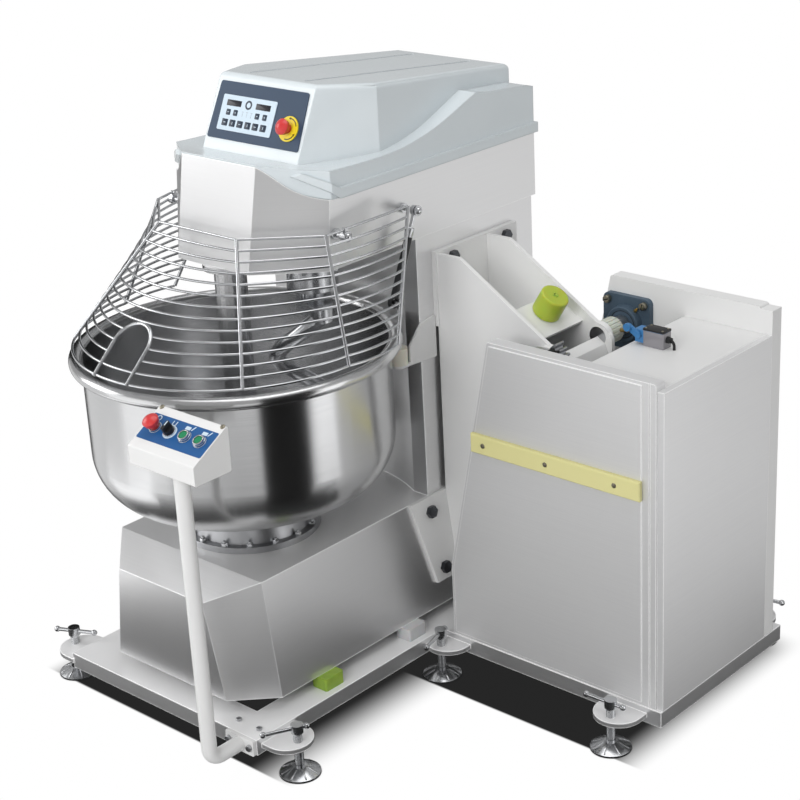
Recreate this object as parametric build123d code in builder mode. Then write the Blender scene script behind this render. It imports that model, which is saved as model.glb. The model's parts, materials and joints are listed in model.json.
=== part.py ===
from build123d import *
import os
from math import acos, asin, atan2, cos, degrees, hypot, pi, radians, sin, tan

# A tilting spiral dough mixer. Sizes are in millimetres, +Z is up, the operator stands at -Y,
# and the mixer tips towards +X about a shaft in the side pedestal.

os.makedirs("parts", exist_ok=True)

# Place of the mixer's centre plane and of the bowl's axis in the shared frame
MIXER_X = -290.5
BOWL_Y = -232.5

# Clearances
SEAT = 0.1  # between two faces that rest on each other
RUN = 0.05  # radial, of a shaft in its bearing
FREE = 0.5  # radial, of a piece that passes through a hole
ROOM = 8.0  # radial, round a shaft that passes a wall
OVER = 60.0  # how far a cutting outline reaches past what it cuts

# Base frame and feet
FRAME_HALF = 348.0
FRAME_FRONT = -358.0
FRAME_REAR = 870.0
FRAME_TOP = 104.0
BAR_WIDTH = 95.0
BAR_HEIGHT = 42.0
BAR_WALL = 5.0
LUG_RADIUS = 62.0
LUG_OUT = 30.0
LUG_WELD = 4.0
LUG_THICK = 12.0
LUG_TOP = 88.0
FOOT_OUT = 62.0
FOOT_SETBACK = 68.0
FOOT_SKEW = 10.0
INNER_FOOT_X = 34.0  # beyond the side of the mixer's frame
INNER_FOOT_Y = 16.0  # nearer to the pedestal than the other feet
CAB_FOOT_X = 104.0  # inside the pedestal's right side
PAD_RADIUS = 51.0
PAD_EDGE = 5.0
PAD_NECK = 18.0
PAD_HEIGHT = 20.0
SCREW_RADIUS = 11.5
SCREW_TOP = 135.0
SCREW_HEAD = 22.0
SCREW_HEAD_RADIUS = 15.5
TOMMY_RADIUS = 5.0
TOMMY_BALL = 8.0
TOMMY_LENGTH = 108.0
REST_PAD = 64.0
REST_PAD_WIDTH = 51.0
REST_PAD_ROUND = 6.0
REST_PAD_IN = 50.0
REST_PAD_FRONT = -62.0
REST_PAD_REAR = 252.0

# Pedestal that carries the tilting shaft
CAB_LEFT = 388.0
CAB_RIGHT = 1042.0
CAB_FRONT = 326.0
CAB_REAR = 830.0
CAB_BEND = 301.0
CAB_FRONT_TOP = 948.0
CAB_REAR_TOP = 998.0
CAB_DECK = 930.0
CAB_SLANT = 142.0
CAB_WALL = 40.0
SHEET = 5.0
WALL_ROUND = 8.0
REAR_SHIFT = 24.0
FACE_STEP = 3.0
FACE_MARGIN = 9.0
RAIL = 18.0  # solid bar beside the side cover
RAIL_MARGIN = 22.0
RAIL_GROOVE = 3.0
COVER_DEPTH = 18.0
COVER_SHEET = 4.0
COVER_SETBACK = 8.0
CORNER_LUG = 39.0
CORNER_DROP = 6.0
DECK_EDGE = 790.0
DECK_SHEET = 4.0
DECK_FLANGE = 34.0
STRIP_TOP = 702.0
STRIP_HEIGHT = 50.0
STRIP_THICK = 12.0
STRIP_END = 3.0
STRIP_CHAMFER = 3.0
SHELF_THICK = 8.0
SHELF_WIDTH = 130.0
SHELF_REACH = 214.0
GUSSET_REACH = 209.0
GUSSET_DROP = 142.0

# Tilting shaft, its bearings and its gear
PIVOT_X = 625.0
PIVOT_Z = 885.0
SHAFT_RADIUS = 25.0
SHAFT_INSET = 2.0
BEARING_WIDTH = 143.0
BEARING_PITCH = 111.0
BEARING_HUB = 50.0
SMALL_BEARING = 110.0
SMALL_PITCH = 84.0
SMALL_HUB = 40.0
BEARING_PLATE = 16.0
BEARING_LENGTH = 34.0
BEARING_TAPER = 4.0
BEARING_ROUND = 16.0
BEARING_BOLT = 6.0
BEARING_HEAD = 10.0
BEARING_HEAD_LENGTH = 12.0
BEARING_BOLT_END = 6.0
COLLAR_RADIUS = 31.0
COLLAR_LENGTH = 52.0
GEAR_MODULE = 5.0
GEAR_TEETH = 40
GEAR_BEFORE = 4  # teeth of the segment before and after its lowest one
GEAR_AFTER = 15
GEAR_WIDTH = 30.0
GEAR_BOSS = 45.0
GEAR_Y = 385.0
PINION_TEETH = 16
PRESSURE_ANGLE = 20.0
BACKLASH = 0.35
PINION_SHAFT = 14.0
PINION_REACH = 48.0
REDUCER_HALF = 50.0
REDUCER_LENGTH = 95.0
REDUCER_GAP = 8.0
REDUCER_ROUND = 10.0
GEARMOTOR_RADIUS = 48.0
GEARMOTOR_LENGTH = 150.0
BORE_END = 6.0  # how much deeper a motor's bore is than the shaft in it

# Limit switch on the deck
SWITCH_X = 800.0
SWITCH_Y = 577.0
SWITCH_LENGTH = 84.0
SWITCH_WIDTH = 34.0
SWITCH_HEIGHT = 40.0
SWITCH_HEAD = 26.0
SWITCH_HEAD_WIDTH = 30.0
SWITCH_HEAD_HEIGHT = 32.0
SWITCH_HEAD_LIFT = 6.0
SWITCH_ROUND = 3.0
LEVER_PIN = 5.0
LEVER_PIN_LENGTH = 14.0
LEVER_Z = 26.0
LEVER_REACH = 26.0
LEVER_RISE = 16.0
LEVER_RADIUS = 8.0
LEVER_THICK = 6.0
LEVER_GAP = 2.0
LEVER_ROLLER = 10.0
LEVER_ROLLER_WIDTH = 8.0
LEAD_RADIUS = 3.5
LEAD_OUT = 20.0
LEAD_Z = 22.0
LEAD_BEND = 13.0
LEAD_DROP = 60.0

# Lower housing and column
HOUSE_BOTTOM = 138.0
HOUSE_TOP = 442.0
HOUSE_HALF = 300.0
HOUSE_FRONT = -314.0
HOUSE_LEAN = 9.0
HOUSE_NOSE = 201.0
HOUSE_NOSE_TOP = 146.0
HOUSE_CHEEK = -218.0
HOUSE_BROW = 400.0
HOUSE_ROOF = 46.0  # height of the flat part of the room under the top
HOUSE_LIP = 8.0
HOUSE_LIP_WIDTH = 90.0
HOUSE_HATCH_FRONT = -230.0
HOUSE_HATCH_REAR = 670.0
COLUMN_HALF = 259.0
COLUMN_FRONT = 392.0
COLUMN_REAR = 856.0
COLUMN_WALL = 6.0
BOWL_ROOM = 445.0

# Head
HEAD_BOTTOM = 1149.0
HEAD_SIDE_TOP = 1318.0
HEAD_BROW = 1402.0
HEAD_HALF = 268.0
HEAD_NOSE = 124.0
HEAD_NOSE_FLARE = 4.0
HEAD_FRONT = -54.0
HEAD_CHEEK = 74.0
HEAD_REAR = 863.0
HEAD_LEAN = 46.0
HEAD_WALL = 5.0
HEAD_FLOOR = 8.0
SEAM_RUN = 24.0  # from the head's cheek to the level part of the seam

# Cover of the head and its hood; points are Y and height over the head's side
COVER_WALL = 6.0
COVER_SKIN = 10.0
COVER_NOSE = 40.0
BROW_LIFT = 4.0
BROW_SKIN = 16.0
SHOULDER = [(60.0, 75.0), (165.0, 68.0), (320.0, 68.0), (464.0, 92.0), (593.0, 136.0), (632.0, 150.0)]
TAIL = [(668.0, 144.0), (838.0, 128.0)]
TAIL_END = 104.0
LIP = 8.0
LIP_HEIGHT = 26.0
LIP_NOSE = [(44.0, 42.0), (58.0, 34.0)]
HOOD_NOSE = 165.0
HOOD_FLARE = 235.0
HOOD_FLARE_Y = 306.0
HOOD_TAIL = 195.0
HOOD_REAR = 855.0
HOOD_TOP = 1566.0
HOOD_TOP_Y = 160.0
HOOD_SLOPE = 0.107
HOOD_ROUND = 16.0
HOOD_SINK = 22.0
HOOD_OPEN = 40.0
GROOVE_X = 97.0
GROOVE_FRONT = 205.0
GROOVE_REAR = 815.0
GROOVE_WIDTH = 11.0
GROOVE_DEPTH = 2.5

# Control panel on the hood
PANEL_Y = 104.0
PANEL_Z = 1412.0
PANEL_LEAN = 25.3
PANEL_START = 4.0
PANEL_LENGTH = 147.0
PANEL_TOP_HALF = 151.0
PANEL_FOOT_HALF = 158.0
PANEL_THICK = 3.0
PANEL_ROUND = 7.0
KEYPAD_X = -36.0
KEYPAD_Y = 70.0
KEYPAD_WIDTH = 186.0
KEYPAD_HEIGHT = 88.0
KEYPAD_THICK = 1.6
KEYPAD_ROUND = 4.0
ESTOP_X = 113.0
ESTOP_Y = 55.0
ESTOP_LIFT = 14.0
DISC_RADIUS = 31.0
DISC_THICK = 3.0
KNOB_RADIUS = 20.0
KNOB_SKIRT = 10.0
KNOB_TAPER = 2.0
KNOB_DOME = 9.0
STEM_RADIUS = 10.0
STEM_DEPTH = 14.0

# Bowl and its drive
BOWL_RADIUS = 383.0
BOWL_WALL = 5.0
BOWL_CORNER = 140.0
BOWL_FLOOR = 552.0
RIM_Z = 933.0
RIM_TUBE = 16.0
RIM_WELD = 2.0
RIM_LIP = 4.0
BOWL_SHAFT = 30.0
BOWL_SHAFT_END = 10.0
DRIVE_FLANGE = 140.0
DRIVE_FLANGE_THICK = 14.0
PULLEY_BOSS = 25.0
PULLEY_BOSS_LENGTH = 14.0
BOWL_PULLEY = 150.0
BELT_Z = 330.0
BELT_WIDTH = 42.0
BELT_THICK = 8.0
PEDESTAL_GAP = 16.0
PEDESTAL_BUSH = 32.0
PEDESTAL_TOP_INNER = 130.0
PEDESTAL_TOP_OUTER = 146.0
PEDESTAL_FOOT_INNER = 142.0
PEDESTAL_FOOT_OUTER = 158.0
PEDESTAL_FOOT = 178.0
PEDESTAL_FOOT_THICK = 16.0
PEDESTAL_CROWN = 6.0
PEDESTAL_EDGE = 20.0
PEDESTAL_ROOF = 34.0
BOWL_MOTOR_Y = 600.0
BOWL_MOTOR_FLANGE = 105.0
BOWL_MOTOR_FLANGE_THICK = 14.0
BOWL_MOTOR_RADIUS = 88.0
BOWL_MOTOR_LENGTH = 250.0
BOWL_MOTOR_SHAFT = 14.0
BOWL_MOTOR_SHAFT_IN = 40.0
MOTOR_PULLEY = 45.0

# Spiral, its drive and the breaker bar
SPIRAL_X = 130.0
SPIRAL_Y = 150.0
SPIRAL_RADIUS = 100.0
SPIRAL_BAR = 21.0
SPIRAL_TOP = 1022.0
SPIRAL_END = 615.0
SPIRAL_TURN = 300.0
SPIRAL_SHAFT = 30.0
SPIRAL_SHAFT_END = 58.0
CRANK_WAY = -35.0
CRANK_THICK = 40.0
CRANK_DROP = 12.0
CRANK_BOSS = 44.0
CRANK_TIP = 28.0
HUB_LIFT = 44.0
HUB_RADIUS = 64.0
HUB_FLANGE = 96.0
HUB_FLANGE_THICK = 18.0
HUB_BOLT_PITCH = 80.0
HUB_BOLT_COUNT = 6
HUB_BOLT_RADIUS = 9.0
HUB_BOLT_HEIGHT = 9.0
SPIRAL_PULLEY = 105.0
SPIRAL_PULLEY_BOSS = 52.0
SPIRAL_PULLEY_BOSS_LENGTH = 12.0
SPIRAL_BELT_Z = 1200.0
SPIRAL_MOTOR_Y = 640.0
SPIRAL_MOTOR_FLANGE = 125.0
SPIRAL_MOTOR_FLANGE_THICK = 16.0
SPIRAL_MOTOR_RADIUS = 105.0
SPIRAL_MOTOR_LENGTH = 330.0
SPIRAL_MOTOR_SHAFT = 19.0
SPIRAL_MOTOR_SHAFT_IN = 50.0
SPIRAL_MOTOR_PULLEY = 58.0
BREAKER_RADIUS = 40.0
BREAKER_END = 592.0
BREAKER_ROUND = 14.0
BREAKER_FLANGE = 66.0
BREAKER_FLANGE_THICK = 14.0

# Roller that steadies the bowl, on its bracket
ROLLER_WAY = 52.0
ROLLER_RADIUS = 22.0
ROLLER_WIDTH = 44.0
ROLLER_DROP = 78.0  # below the rim
ROLLER_PIN = 8.0
ROLLER_PIN_LENGTH = 60.0
BRACKET_THICK = 6.0
BRACKET_SHELF = 8.0
BRACKET_EYE = 16.0
BRACKET_NECK = 26.0
BRACKET_LOW = 30.0
BRACKET_HIGH = 20.0
BRACKET_FOOT_LOW = 36.0
BRACKET_FOOT_HIGH = 76.0
BRACKET_FOOT = 54.0

# Tilting arm between the column and the shaft
ARM_FRONT = 452.0
ARM_REAR = 650.0
ARM_PLATE = 12.0
ARM_TOP = 1094.0
ARM_KNEE = 347.0
ARM_SLOPE = 32.0
ARM_END = 44.0
ARM_ROUND = 26.0
ARM_BELOW = 52.0
ARM_BEFORE = 55.0
ARM_WAIST_X = 430.0
ARM_WAIST_Z = 420.0
ARM_TOE = 52.0
ARM_WELD = 4.0
ARM_FLANGE = 15.0
ARM_FLANGE_FRONT = 448.0
ARM_FLANGE_REAR = 772.0
ARM_FLANGE_FOOT = 900.0
ARM_FLANGE_TOP = 4.0
ARM_FOOT = 205.0
ARM_FOOT_THICK = 10.0
ARM_FOOT_PLATE = [(313.0, 0.0), (680.0, 0.0), (680.0, -240.0), (372.0, -240.0)]
ARM_FOOT_BOLTS = [(382.0, -40.0), (404.0, -205.0), (620.0, -40.0), (620.0, -205.0)]
ARM_HUB = 36.0
ARM_HUB_FRONT = 12.0
ARM_HUB_REAR = 6.0
WEB = 8.0
WEB_DEEP = 150.0
WEB_SHALLOW = 26.0
WEB_STEP = 184.0
WEB_STOP = 290.0
WEB_NOSE = 346.0
WEB_NOSE_END = 374.0
WEB_NOSE_DEPTH = 30.0
FLANGE_BOLT_FRONT = 511.0
FLANGE_BOLT_REAR = 724.0
FLANGE_BOLT_TOP = 22.0
FLANGE_BOLT_FOOT = 30.0
BOLT_RADIUS = 10.0
BOLT_FLATS = 30.0
BOLT_HEAD = 12.0
BOLT_END = 14.0
BUFFER_RADIUS = 37.0
BUFFER_LENGTH = 62.0
BUFFER_ROUND = 5.0
BUFFER_ALONG = 226.0
BUFFER_BACK = 18.0

# Wire guard
GUARD_TOP = 1249.5
GUARD_HALF = 294.0
GUARD_TAIL = 330.0
GUARD_TAIL_RISE = 17.0
GUARD_NOSE = 136.0
GUARD_FRONT = -93.0
GUARD_CHEEK = 43.0
GUARD_REAR = 293.0
GUARD_BULGE = 12.0
RING_Z = 967.0
RING_RADIUS = 400.0
RING_REAR = 157.0
RIB_NOSE = -41.0
RIB_CHEEK = -2.0
WIRE_COUNT = 14
WIRE_RADIUS = 3.2
WELD_GAP = 1.8
RIB_RADIUS = 4.6
ARCH_HALF = 58.0
ARCH_HEIGHT = 154.0
ARCH_FOOT = 2.0
ARCH_WIRES = 1.5  # wires, counted up from the ring, that the arch does not stop
GUARD_PIVOT_Y = 100.0
GUARD_PIVOT_Z = 1236.0
GUARD_PIN = 8.0
GUARD_BUSH = 5.0
GUARD_BUSH_HALF = 7.0
PIN_FLANGE = 6.0
PIN_FLANGE_THICK = 8.0

# Gas strut of the guard
STRUT_X = 308.0
STRUT_TOP_Y = 339.5
STRUT_TOP_Z = 1241.0
STRUT_FOOT_Y = 247.0
STRUT_FOOT_Z = 1031.0
STRUT_FOOT_SHARE = 0.79  # where its bracket meets the guard's rear rib
STRUT_PIN = 6.0
STRUT_PIN_END = 10.0
STRUT_BRACKET = 18.0
STRUT_PLAY = 4.6
STRUT_EYE = 5.0
STRUT_EYE_HALF = 5.0
STRUT_ROD = 5.0
STRUT_ROD_START = 8.0
STRUT_ROD_END = 12.0
STRUT_BODY = 10.0
STRUT_BODY_START = 44.0
STRUT_BODY_WELD = 3.0

# Control console
POLE_X = 298.0
POLE_Y = -463.0
POLE_RADIUS = 19.0
POLE_FOOT = 83.0
POLE_BEND = 34.0
POLE_FLANGE = 96.0
POLE_FLANGE_THICK = 10.0
POLE_FLANGE_ROUND = 4.0
POLE_PLATE_WIDTH = 80.0
POLE_PLATE_DEPTH = 60.0
POLE_PLATE_THICK = 8.0
POLE_PLATE_ROUND = 6.0
CONSOLE_WIDTH = 218.0
CONSOLE_DEPTH = 109.0
CONSOLE_BOTTOM = 846.0
CONSOLE_LOW = 46.0
CONSOLE_HIGH = 110.0
CONSOLE_WALL = 3.0
CONSOLE_ROUND = 4.0
CABLE_HOLE = 13.0
BUTTON_PITCH = 49.0
BUTTON_ROW = 1.0
BUTTON_IN = 12.0
BUTTON_OUT = 10.0
BUTTON_CHAMFER = 1.2
BEZEL_RADIUS = 15.0
BEZEL_THICK = 5.0
CONSOLE_ESTOP_LIFT = 16.0
SELECTOR_RADIUS = 13.0
SELECTOR_SKIRT = 8.0
SELECTOR_GAP = 1.0
SELECTOR_GRIP = 12.0
SELECTOR_GRIP_WIDTH = 9.0
SELECTOR_GRIP_LENGTH = 26.0
SELECTOR_GRIP_ROUND = 3.0


def level(z):
    """Level plane with the bowl's axis at its origin."""
    return Plane(origin=(MIXER_X, BOWL_Y, z))


def side(x):
    """Upright plane facing +X, with Y across and Z up."""
    return Plane(origin=(MIXER_X + x, BOWL_Y, 0), x_dir=(0, 1, 0), z_dir=(1, 0, 0))


def facing(y):
    """Upright plane facing the operator, with X across and Z up."""
    return Plane(origin=(MIXER_X, BOWL_Y + y, 0), x_dir=(1, 0, 0), z_dir=(0, -1, 0))


def spot(x, y, z):
    """Point given from the bowl's axis."""
    return (MIXER_X + x, BOWL_Y + y, z)


def outline(points):
    Polygon(*points, align=None)


def mirrored(points):
    """Closed outline from its right half, which runs from front to rear."""
    return points + [(-x, y) for x, y in reversed(points)]


def save(builder, name):
    builder.part.label = name
    export_step(builder.part, f"parts/{name}.step")


def rod(start, end, radius):
    """Straight round bar, added to the part being built."""
    run = end - start
    with BuildSketch(Plane(origin=start, z_dir=run)) as section:
        Circle(radius)
    extrude(section.sketch, amount=run.length)


def disc(plane, places, radius, amount, mode=Mode.ADD, both=False):
    """Round bars at places on a plane, added to the part being built or taken from it."""
    with BuildSketch(plane) as section:
        with Locations(*places):
            Circle(radius)
    extrude(section.sketch, amount=amount, both=both, mode=mode)


def belt(plane, first, second, width):
    """Belt round two pulleys, each given as (x, y, radius), added to the part being built."""
    for grow, mode in ((SEAT + BELT_THICK, Mode.ADD), (SEAT, Mode.SUBTRACT)):
        with BuildSketch(plane) as loop:
            for x, y, radius in (first, second):
                with Locations((x, y)):
                    Circle(radius + grow)
            make_hull()
        extrude(loop.sketch, amount=width, mode=mode)


# Base frame: open channels welded into one ladder, with a half-round lug for each foot
bars = [
    (-FRAME_HALF, FRAME_HALF, FRAME_FRONT, FRAME_FRONT + BAR_WIDTH),
    (-FRAME_HALF, -FRAME_HALF + BAR_WIDTH, FRAME_FRONT, FRAME_REAR),
    (FRAME_HALF - BAR_WIDTH, FRAME_HALF, FRAME_FRONT, FRAME_REAR),
    (-FRAME_HALF, CAB_RIGHT, FRAME_REAR - BAR_WIDTH, FRAME_REAR),
    (FRAME_HALF - BAR_WIDTH, CAB_RIGHT, CAB_FRONT, CAB_FRONT + BAR_WIDTH),
    (CAB_RIGHT - BAR_WIDTH, CAB_RIGHT, CAB_FRONT, FRAME_REAR),
]
foot_front = FRAME_FRONT + FOOT_SETBACK
cab_foot = CAB_RIGHT - CAB_FOOT_X
# each foot: place, way out from the frame, turn and slip of its tommy bar
feet = [
    (-FRAME_HALF - FOOT_OUT, foot_front - FOOT_SKEW, -1, 0, 25.0, 5.0),
    (FRAME_HALF + FOOT_OUT, foot_front + FOOT_SKEW, 1, 0, 240.0, 30.0),
    (FRAME_HALF + INNER_FOOT_X, CAB_FRONT - FOOT_OUT + INNER_FOOT_Y, 0, -1, 285.0, 30.0),
    (cab_foot, CAB_FRONT - FOOT_OUT, 0, -1, 180.0, 18.0),
    (cab_foot, FRAME_REAR + FOOT_OUT, 0, 1, 10.0, 10.0),
    (-FRAME_HALF + BAR_WIDTH / 2, FRAME_REAR + FOOT_OUT, 0, 1, -15.0, 10.0),
]
lug_back = FOOT_OUT - LUG_OUT
lug_reach = LUG_OUT + LUG_WELD
lug_width = 2 * LUG_RADIUS
with BuildPart() as base_frame:
    with BuildSketch(level(FRAME_TOP - BAR_HEIGHT)):
        for x0, x1, y0, y1 in bars:
            with Locations(((x0 + x1) / 2, (y0 + y1) / 2)):
                Rectangle(x1 - x0, y1 - y0)
    extrude(amount=BAR_HEIGHT)
    with BuildSketch(level(FRAME_TOP - BAR_HEIGHT)):
        for x0, x1, y0, y1 in bars:
            with Locations(((x0 + x1) / 2, (y0 + y1) / 2)):
                Rectangle(x1 - x0 - 2 * BAR_WALL, y1 - y0 - 2 * BAR_WALL)
    extrude(amount=BAR_HEIGHT - BAR_WALL, mode=Mode.SUBTRACT)
    with BuildSketch(level(LUG_TOP - LUG_THICK)):
        for x, y, dx, dy, turn, slip in feet:
            with Locations((x - dx * lug_back, y - dy * lug_back)):
                Circle(LUG_RADIUS)
            middle = lug_back + lug_reach / 2
            with Locations((x - dx * middle, y - dy * middle)):
                Rectangle(lug_reach if dx else lug_width, lug_reach if dy else lug_width)
            behind = lug_back + lug_reach + LUG_RADIUS / 2
            with Locations((x - dx * behind, y - dy * behind)):
                Rectangle(
                    LUG_RADIUS if dx else lug_width,
                    LUG_RADIUS if dy else lug_width,
                    mode=Mode.SUBTRACT,
                )
    extrude(amount=LUG_THICK)
    screw_places = [(x, y) for x, y, dx, dy, turn, slip in feet]
    disc(level(LUG_TOP - LUG_THICK), screw_places, SCREW_RADIUS + RUN, LUG_THICK, Mode.SUBTRACT)
save(base_frame, "base_frame")

# Feet: a domed pad, a screw with a round head and a sliding tommy bar in it
tommy_z = SCREW_TOP - SCREW_HEAD / 2
for number, (x, y, dx, dy, turn, slip) in enumerate(feet, start=1):
    with BuildPart() as foot:
        with BuildSketch(Plane(origin=spot(x, y, 0), x_dir=(1, 0, 0), z_dir=(0, -1, 0))):
            with BuildLine():
                Polyline((0, 0), (PAD_RADIUS, 0), (PAD_RADIUS, PAD_EDGE))
                ThreePointArc(
                    (PAD_RADIUS, PAD_EDGE),
                    (PAD_RADIUS * 0.68, PAD_HEIGHT * 0.65),
                    (PAD_NECK, PAD_HEIGHT),
                )
                Polyline((PAD_NECK, PAD_HEIGHT), (0, PAD_HEIGHT), (0, 0))
            make_face()
        revolve(axis=Axis(spot(x, y, 0), (0, 0, 1)))
        disc(level(PAD_HEIGHT + SEAT), [(x, y)], SCREW_RADIUS, SCREW_TOP - PAD_HEIGHT - SEAT)
        disc(level(SCREW_TOP - SCREW_HEAD), [(x, y)], SCREW_HEAD_RADIUS, SCREW_HEAD)
        across = Plane(
            origin=spot(x, y, tommy_z),
            x_dir=(-sin(radians(turn)), cos(radians(turn)), 0),
            z_dir=(cos(radians(turn)), sin(radians(turn)), 0),
        )
        disc(across, [(0, 0)], TOMMY_RADIUS + SEAT, 2 * SCREW_HEAD_RADIUS, Mode.SUBTRACT, both=True)
        disc(across.offset(slip - TOMMY_LENGTH / 2), [(0, 0)], TOMMY_RADIUS, TOMMY_LENGTH)
        with Locations(across.offset(slip - TOMMY_LENGTH / 2), across.offset(slip + TOMMY_LENGTH / 2)):
            Sphere(TOMMY_BALL)
    save(foot, f"foot_{number}")

# Rubber pads under the lower housing
pad_x = FRAME_HALF - BAR_WIDTH + REST_PAD_IN
with BuildPart() as rest_pads:
    with BuildSketch(level(FRAME_TOP + SEAT)):
        with Locations(*[(way * pad_x, y) for way in (-1, 1) for y in (REST_PAD_FRONT, REST_PAD_REAR)]):
            RectangleRounded(REST_PAD_WIDTH, REST_PAD, REST_PAD_ROUND)
    extrude(amount=HOUSE_BOTTOM - FRAME_TOP - 2 * SEAT)
save(rest_pads, "rest_pads")

# Pedestal walls: folded pans that share one slanted left edge
slant = CAB_SLANT / (CAB_FRONT_TOP - CAB_BEND)
wall_foot = FRAME_TOP + SEAT


def wall_outline(top, inset, right, shift=0.0):
    """Outline of a pedestal wall in X and Z up to right, shrunk by inset, with its left edge shifted."""
    high = top - inset
    lean = CAB_LEFT + shift + slant * (high - CAB_BEND)
    return [
        (CAB_LEFT + shift + inset, wall_foot + inset),
        (right, wall_foot + inset),
        (right, high),
        (lean + inset * hypot(1, slant), high),
        (CAB_LEFT + shift + inset * hypot(1, slant), CAB_BEND),
    ]


def bolts_at(pitch):
    """Bolt centres of a square bearing flange, in X and Z."""
    half = pitch / 2
    return [(PIVOT_X + half * i, PIVOT_Z + half * j) for i in (-1, 1) for j in (-1, 1)]


gear_pitch = GEAR_MODULE * GEAR_TEETH / 2
pinion_pitch = GEAR_MODULE * PINION_TEETH / 2
pinion_z = PIVOT_Z - gear_pitch - pinion_pitch
shelf_z = pinion_z - REDUCER_HALF - SEAT
shelf_foot = shelf_z - SHELF_THICK
inner_front = CAB_FRONT + SHEET
wall_right = CAB_RIGHT - COVER_DEPTH - SEAT
rail_left = wall_right - RAIL
face_right = rail_left - RAIL_MARGIN

with BuildPart() as cabinet_front_wall:
    with BuildSketch(facing(CAB_FRONT + FACE_STEP)) as front_sheet:
        outline(wall_outline(CAB_FRONT_TOP, 0, wall_right))
        fillet(front_sheet.vertices().sort_by(Axis.Y)[-2:], WALL_ROUND)
    extrude(amount=FACE_STEP - CAB_WALL)
    with BuildSketch(facing(inner_front)):
        outline(wall_outline(CAB_FRONT_TOP, SHEET, rail_left - SHEET))
    extrude(amount=-CAB_WALL, mode=Mode.SUBTRACT)
    # raised face inside a narrow margin
    with BuildSketch(facing(CAB_FRONT)):
        outline(wall_outline(CAB_FRONT_TOP, FACE_MARGIN, face_right))
    extrude(amount=-SHEET)
    # groove between the margin and the rail
    with BuildSketch(level(wall_foot)):
        with Locations((rail_left, CAB_FRONT + FACE_STEP)):
            Rectangle(RAIL_GROOVE, 2 * RAIL_GROOVE)
    extrude(amount=CAB_FRONT_TOP - wall_foot, mode=Mode.SUBTRACT)
    # shelf for the tilting gear motor
    with BuildSketch(level(shelf_foot)):
        with Locations((PIVOT_X, inner_front + SHELF_REACH / 2)):
            Rectangle(SHELF_WIDTH, SHELF_REACH)
    extrude(amount=SHELF_THICK)
    with BuildSketch(side(PIVOT_X + SHELF_WIDTH / 2 - SHELF_THICK)):
        outline(
            [
                (inner_front, shelf_foot),
                (inner_front + GUSSET_REACH, shelf_foot),
                (inner_front, shelf_foot - GUSSET_DROP),
            ]
        )
    extrude(amount=SHELF_THICK)
save(cabinet_front_wall, "cabinet_front_wall")

rear_face = CAB_REAR - CAB_WALL
rear_right = CAB_RIGHT - CORNER_LUG + SHEET
with BuildPart() as cabinet_rear_wall:
    with BuildSketch(facing(rear_face)) as rear_sheet:
        outline(wall_outline(CAB_REAR_TOP, 0, rear_right, REAR_SHIFT))
        fillet(rear_sheet.vertices().sort_by(Axis.Y)[-2:], WALL_ROUND)
    extrude(amount=-CAB_WALL)
    with BuildSketch(facing(rear_face + SHEET)):
        outline(wall_outline(CAB_REAR_TOP, SHEET, rear_right - SHEET, REAR_SHIFT))
    extrude(amount=-CAB_WALL, mode=Mode.SUBTRACT)
    # lug that closes the corner over the side cover
    with BuildSketch(level(wall_foot)):
        with Locations((CAB_RIGHT - CORNER_LUG / 2, CAB_REAR - CAB_WALL / 2)):
            Rectangle(CORNER_LUG, CAB_WALL)
    extrude(amount=CAB_REAR_TOP - wall_foot - CORNER_DROP)
    disc(facing(rear_face), bolts_at(BEARING_PITCH), BEARING_BOLT + FREE, -SHEET, Mode.SUBTRACT)
save(cabinet_rear_wall, "cabinet_rear_wall")

cover_y0 = CAB_FRONT + COVER_SETBACK
cover_y1 = rear_face - SEAT
cover_y = (cover_y0 + cover_y1) / 2
with BuildPart() as cabinet_side_cover:
    with BuildSketch(level(wall_foot)):
        with Locations((CAB_RIGHT - COVER_DEPTH / 2, cover_y)):
            Rectangle(COVER_DEPTH, cover_y1 - cover_y0)
    extrude(amount=CAB_DECK - wall_foot)
    with BuildSketch(level(wall_foot + COVER_SHEET)):
        with Locations((CAB_RIGHT - COVER_SHEET - COVER_DEPTH / 2, cover_y)):
            Rectangle(COVER_DEPTH, cover_y1 - cover_y0 - 2 * COVER_SHEET)
    extrude(amount=CAB_DECK - wall_foot - 2 * COVER_SHEET, mode=Mode.SUBTRACT)
save(cabinet_side_cover, "cabinet_side_cover")

deck_front = CAB_FRONT + CAB_WALL + SEAT
deck_rear = rear_face - SEAT
lead_x = SWITCH_X + SWITCH_LENGTH + LEAD_OUT
with BuildPart() as cabinet_top_plate:
    with BuildSketch(facing(deck_front)):
        outline(
            [
                (DECK_EDGE, CAB_DECK - DECK_FLANGE),
                (DECK_EDGE + DECK_SHEET, CAB_DECK - DECK_FLANGE),
                (DECK_EDGE + DECK_SHEET, CAB_DECK - DECK_SHEET),
                (wall_right, CAB_DECK - DECK_SHEET),
                (wall_right, CAB_DECK),
                (DECK_EDGE, CAB_DECK),
            ]
        )
    extrude(amount=deck_front - deck_rear)
    disc(level(CAB_DECK), [(lead_x, SWITCH_Y)], LEAD_RADIUS + FREE, -DECK_SHEET, Mode.SUBTRACT)
save(cabinet_top_plate, "cabinet_top_plate")

# Soft strip across the pedestal's front
strip_left = CAB_LEFT + slant * (STRIP_TOP - CAB_BEND) + STRIP_END
strip_right = face_right + STRIP_END
with BuildPart() as bumper_strip:
    with BuildSketch(facing(CAB_FRONT - SEAT)):
        with Locations(((strip_left + strip_right) / 2, STRIP_TOP - STRIP_HEIGHT / 2)):
            Rectangle(strip_right - strip_left, STRIP_HEIGHT)
    extrude(amount=STRIP_THICK)
    chamfer(bumper_strip.faces().sort_by(Axis.Y)[0].edges(), STRIP_CHAMFER)
save(bumper_strip, "bumper_strip")

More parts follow.
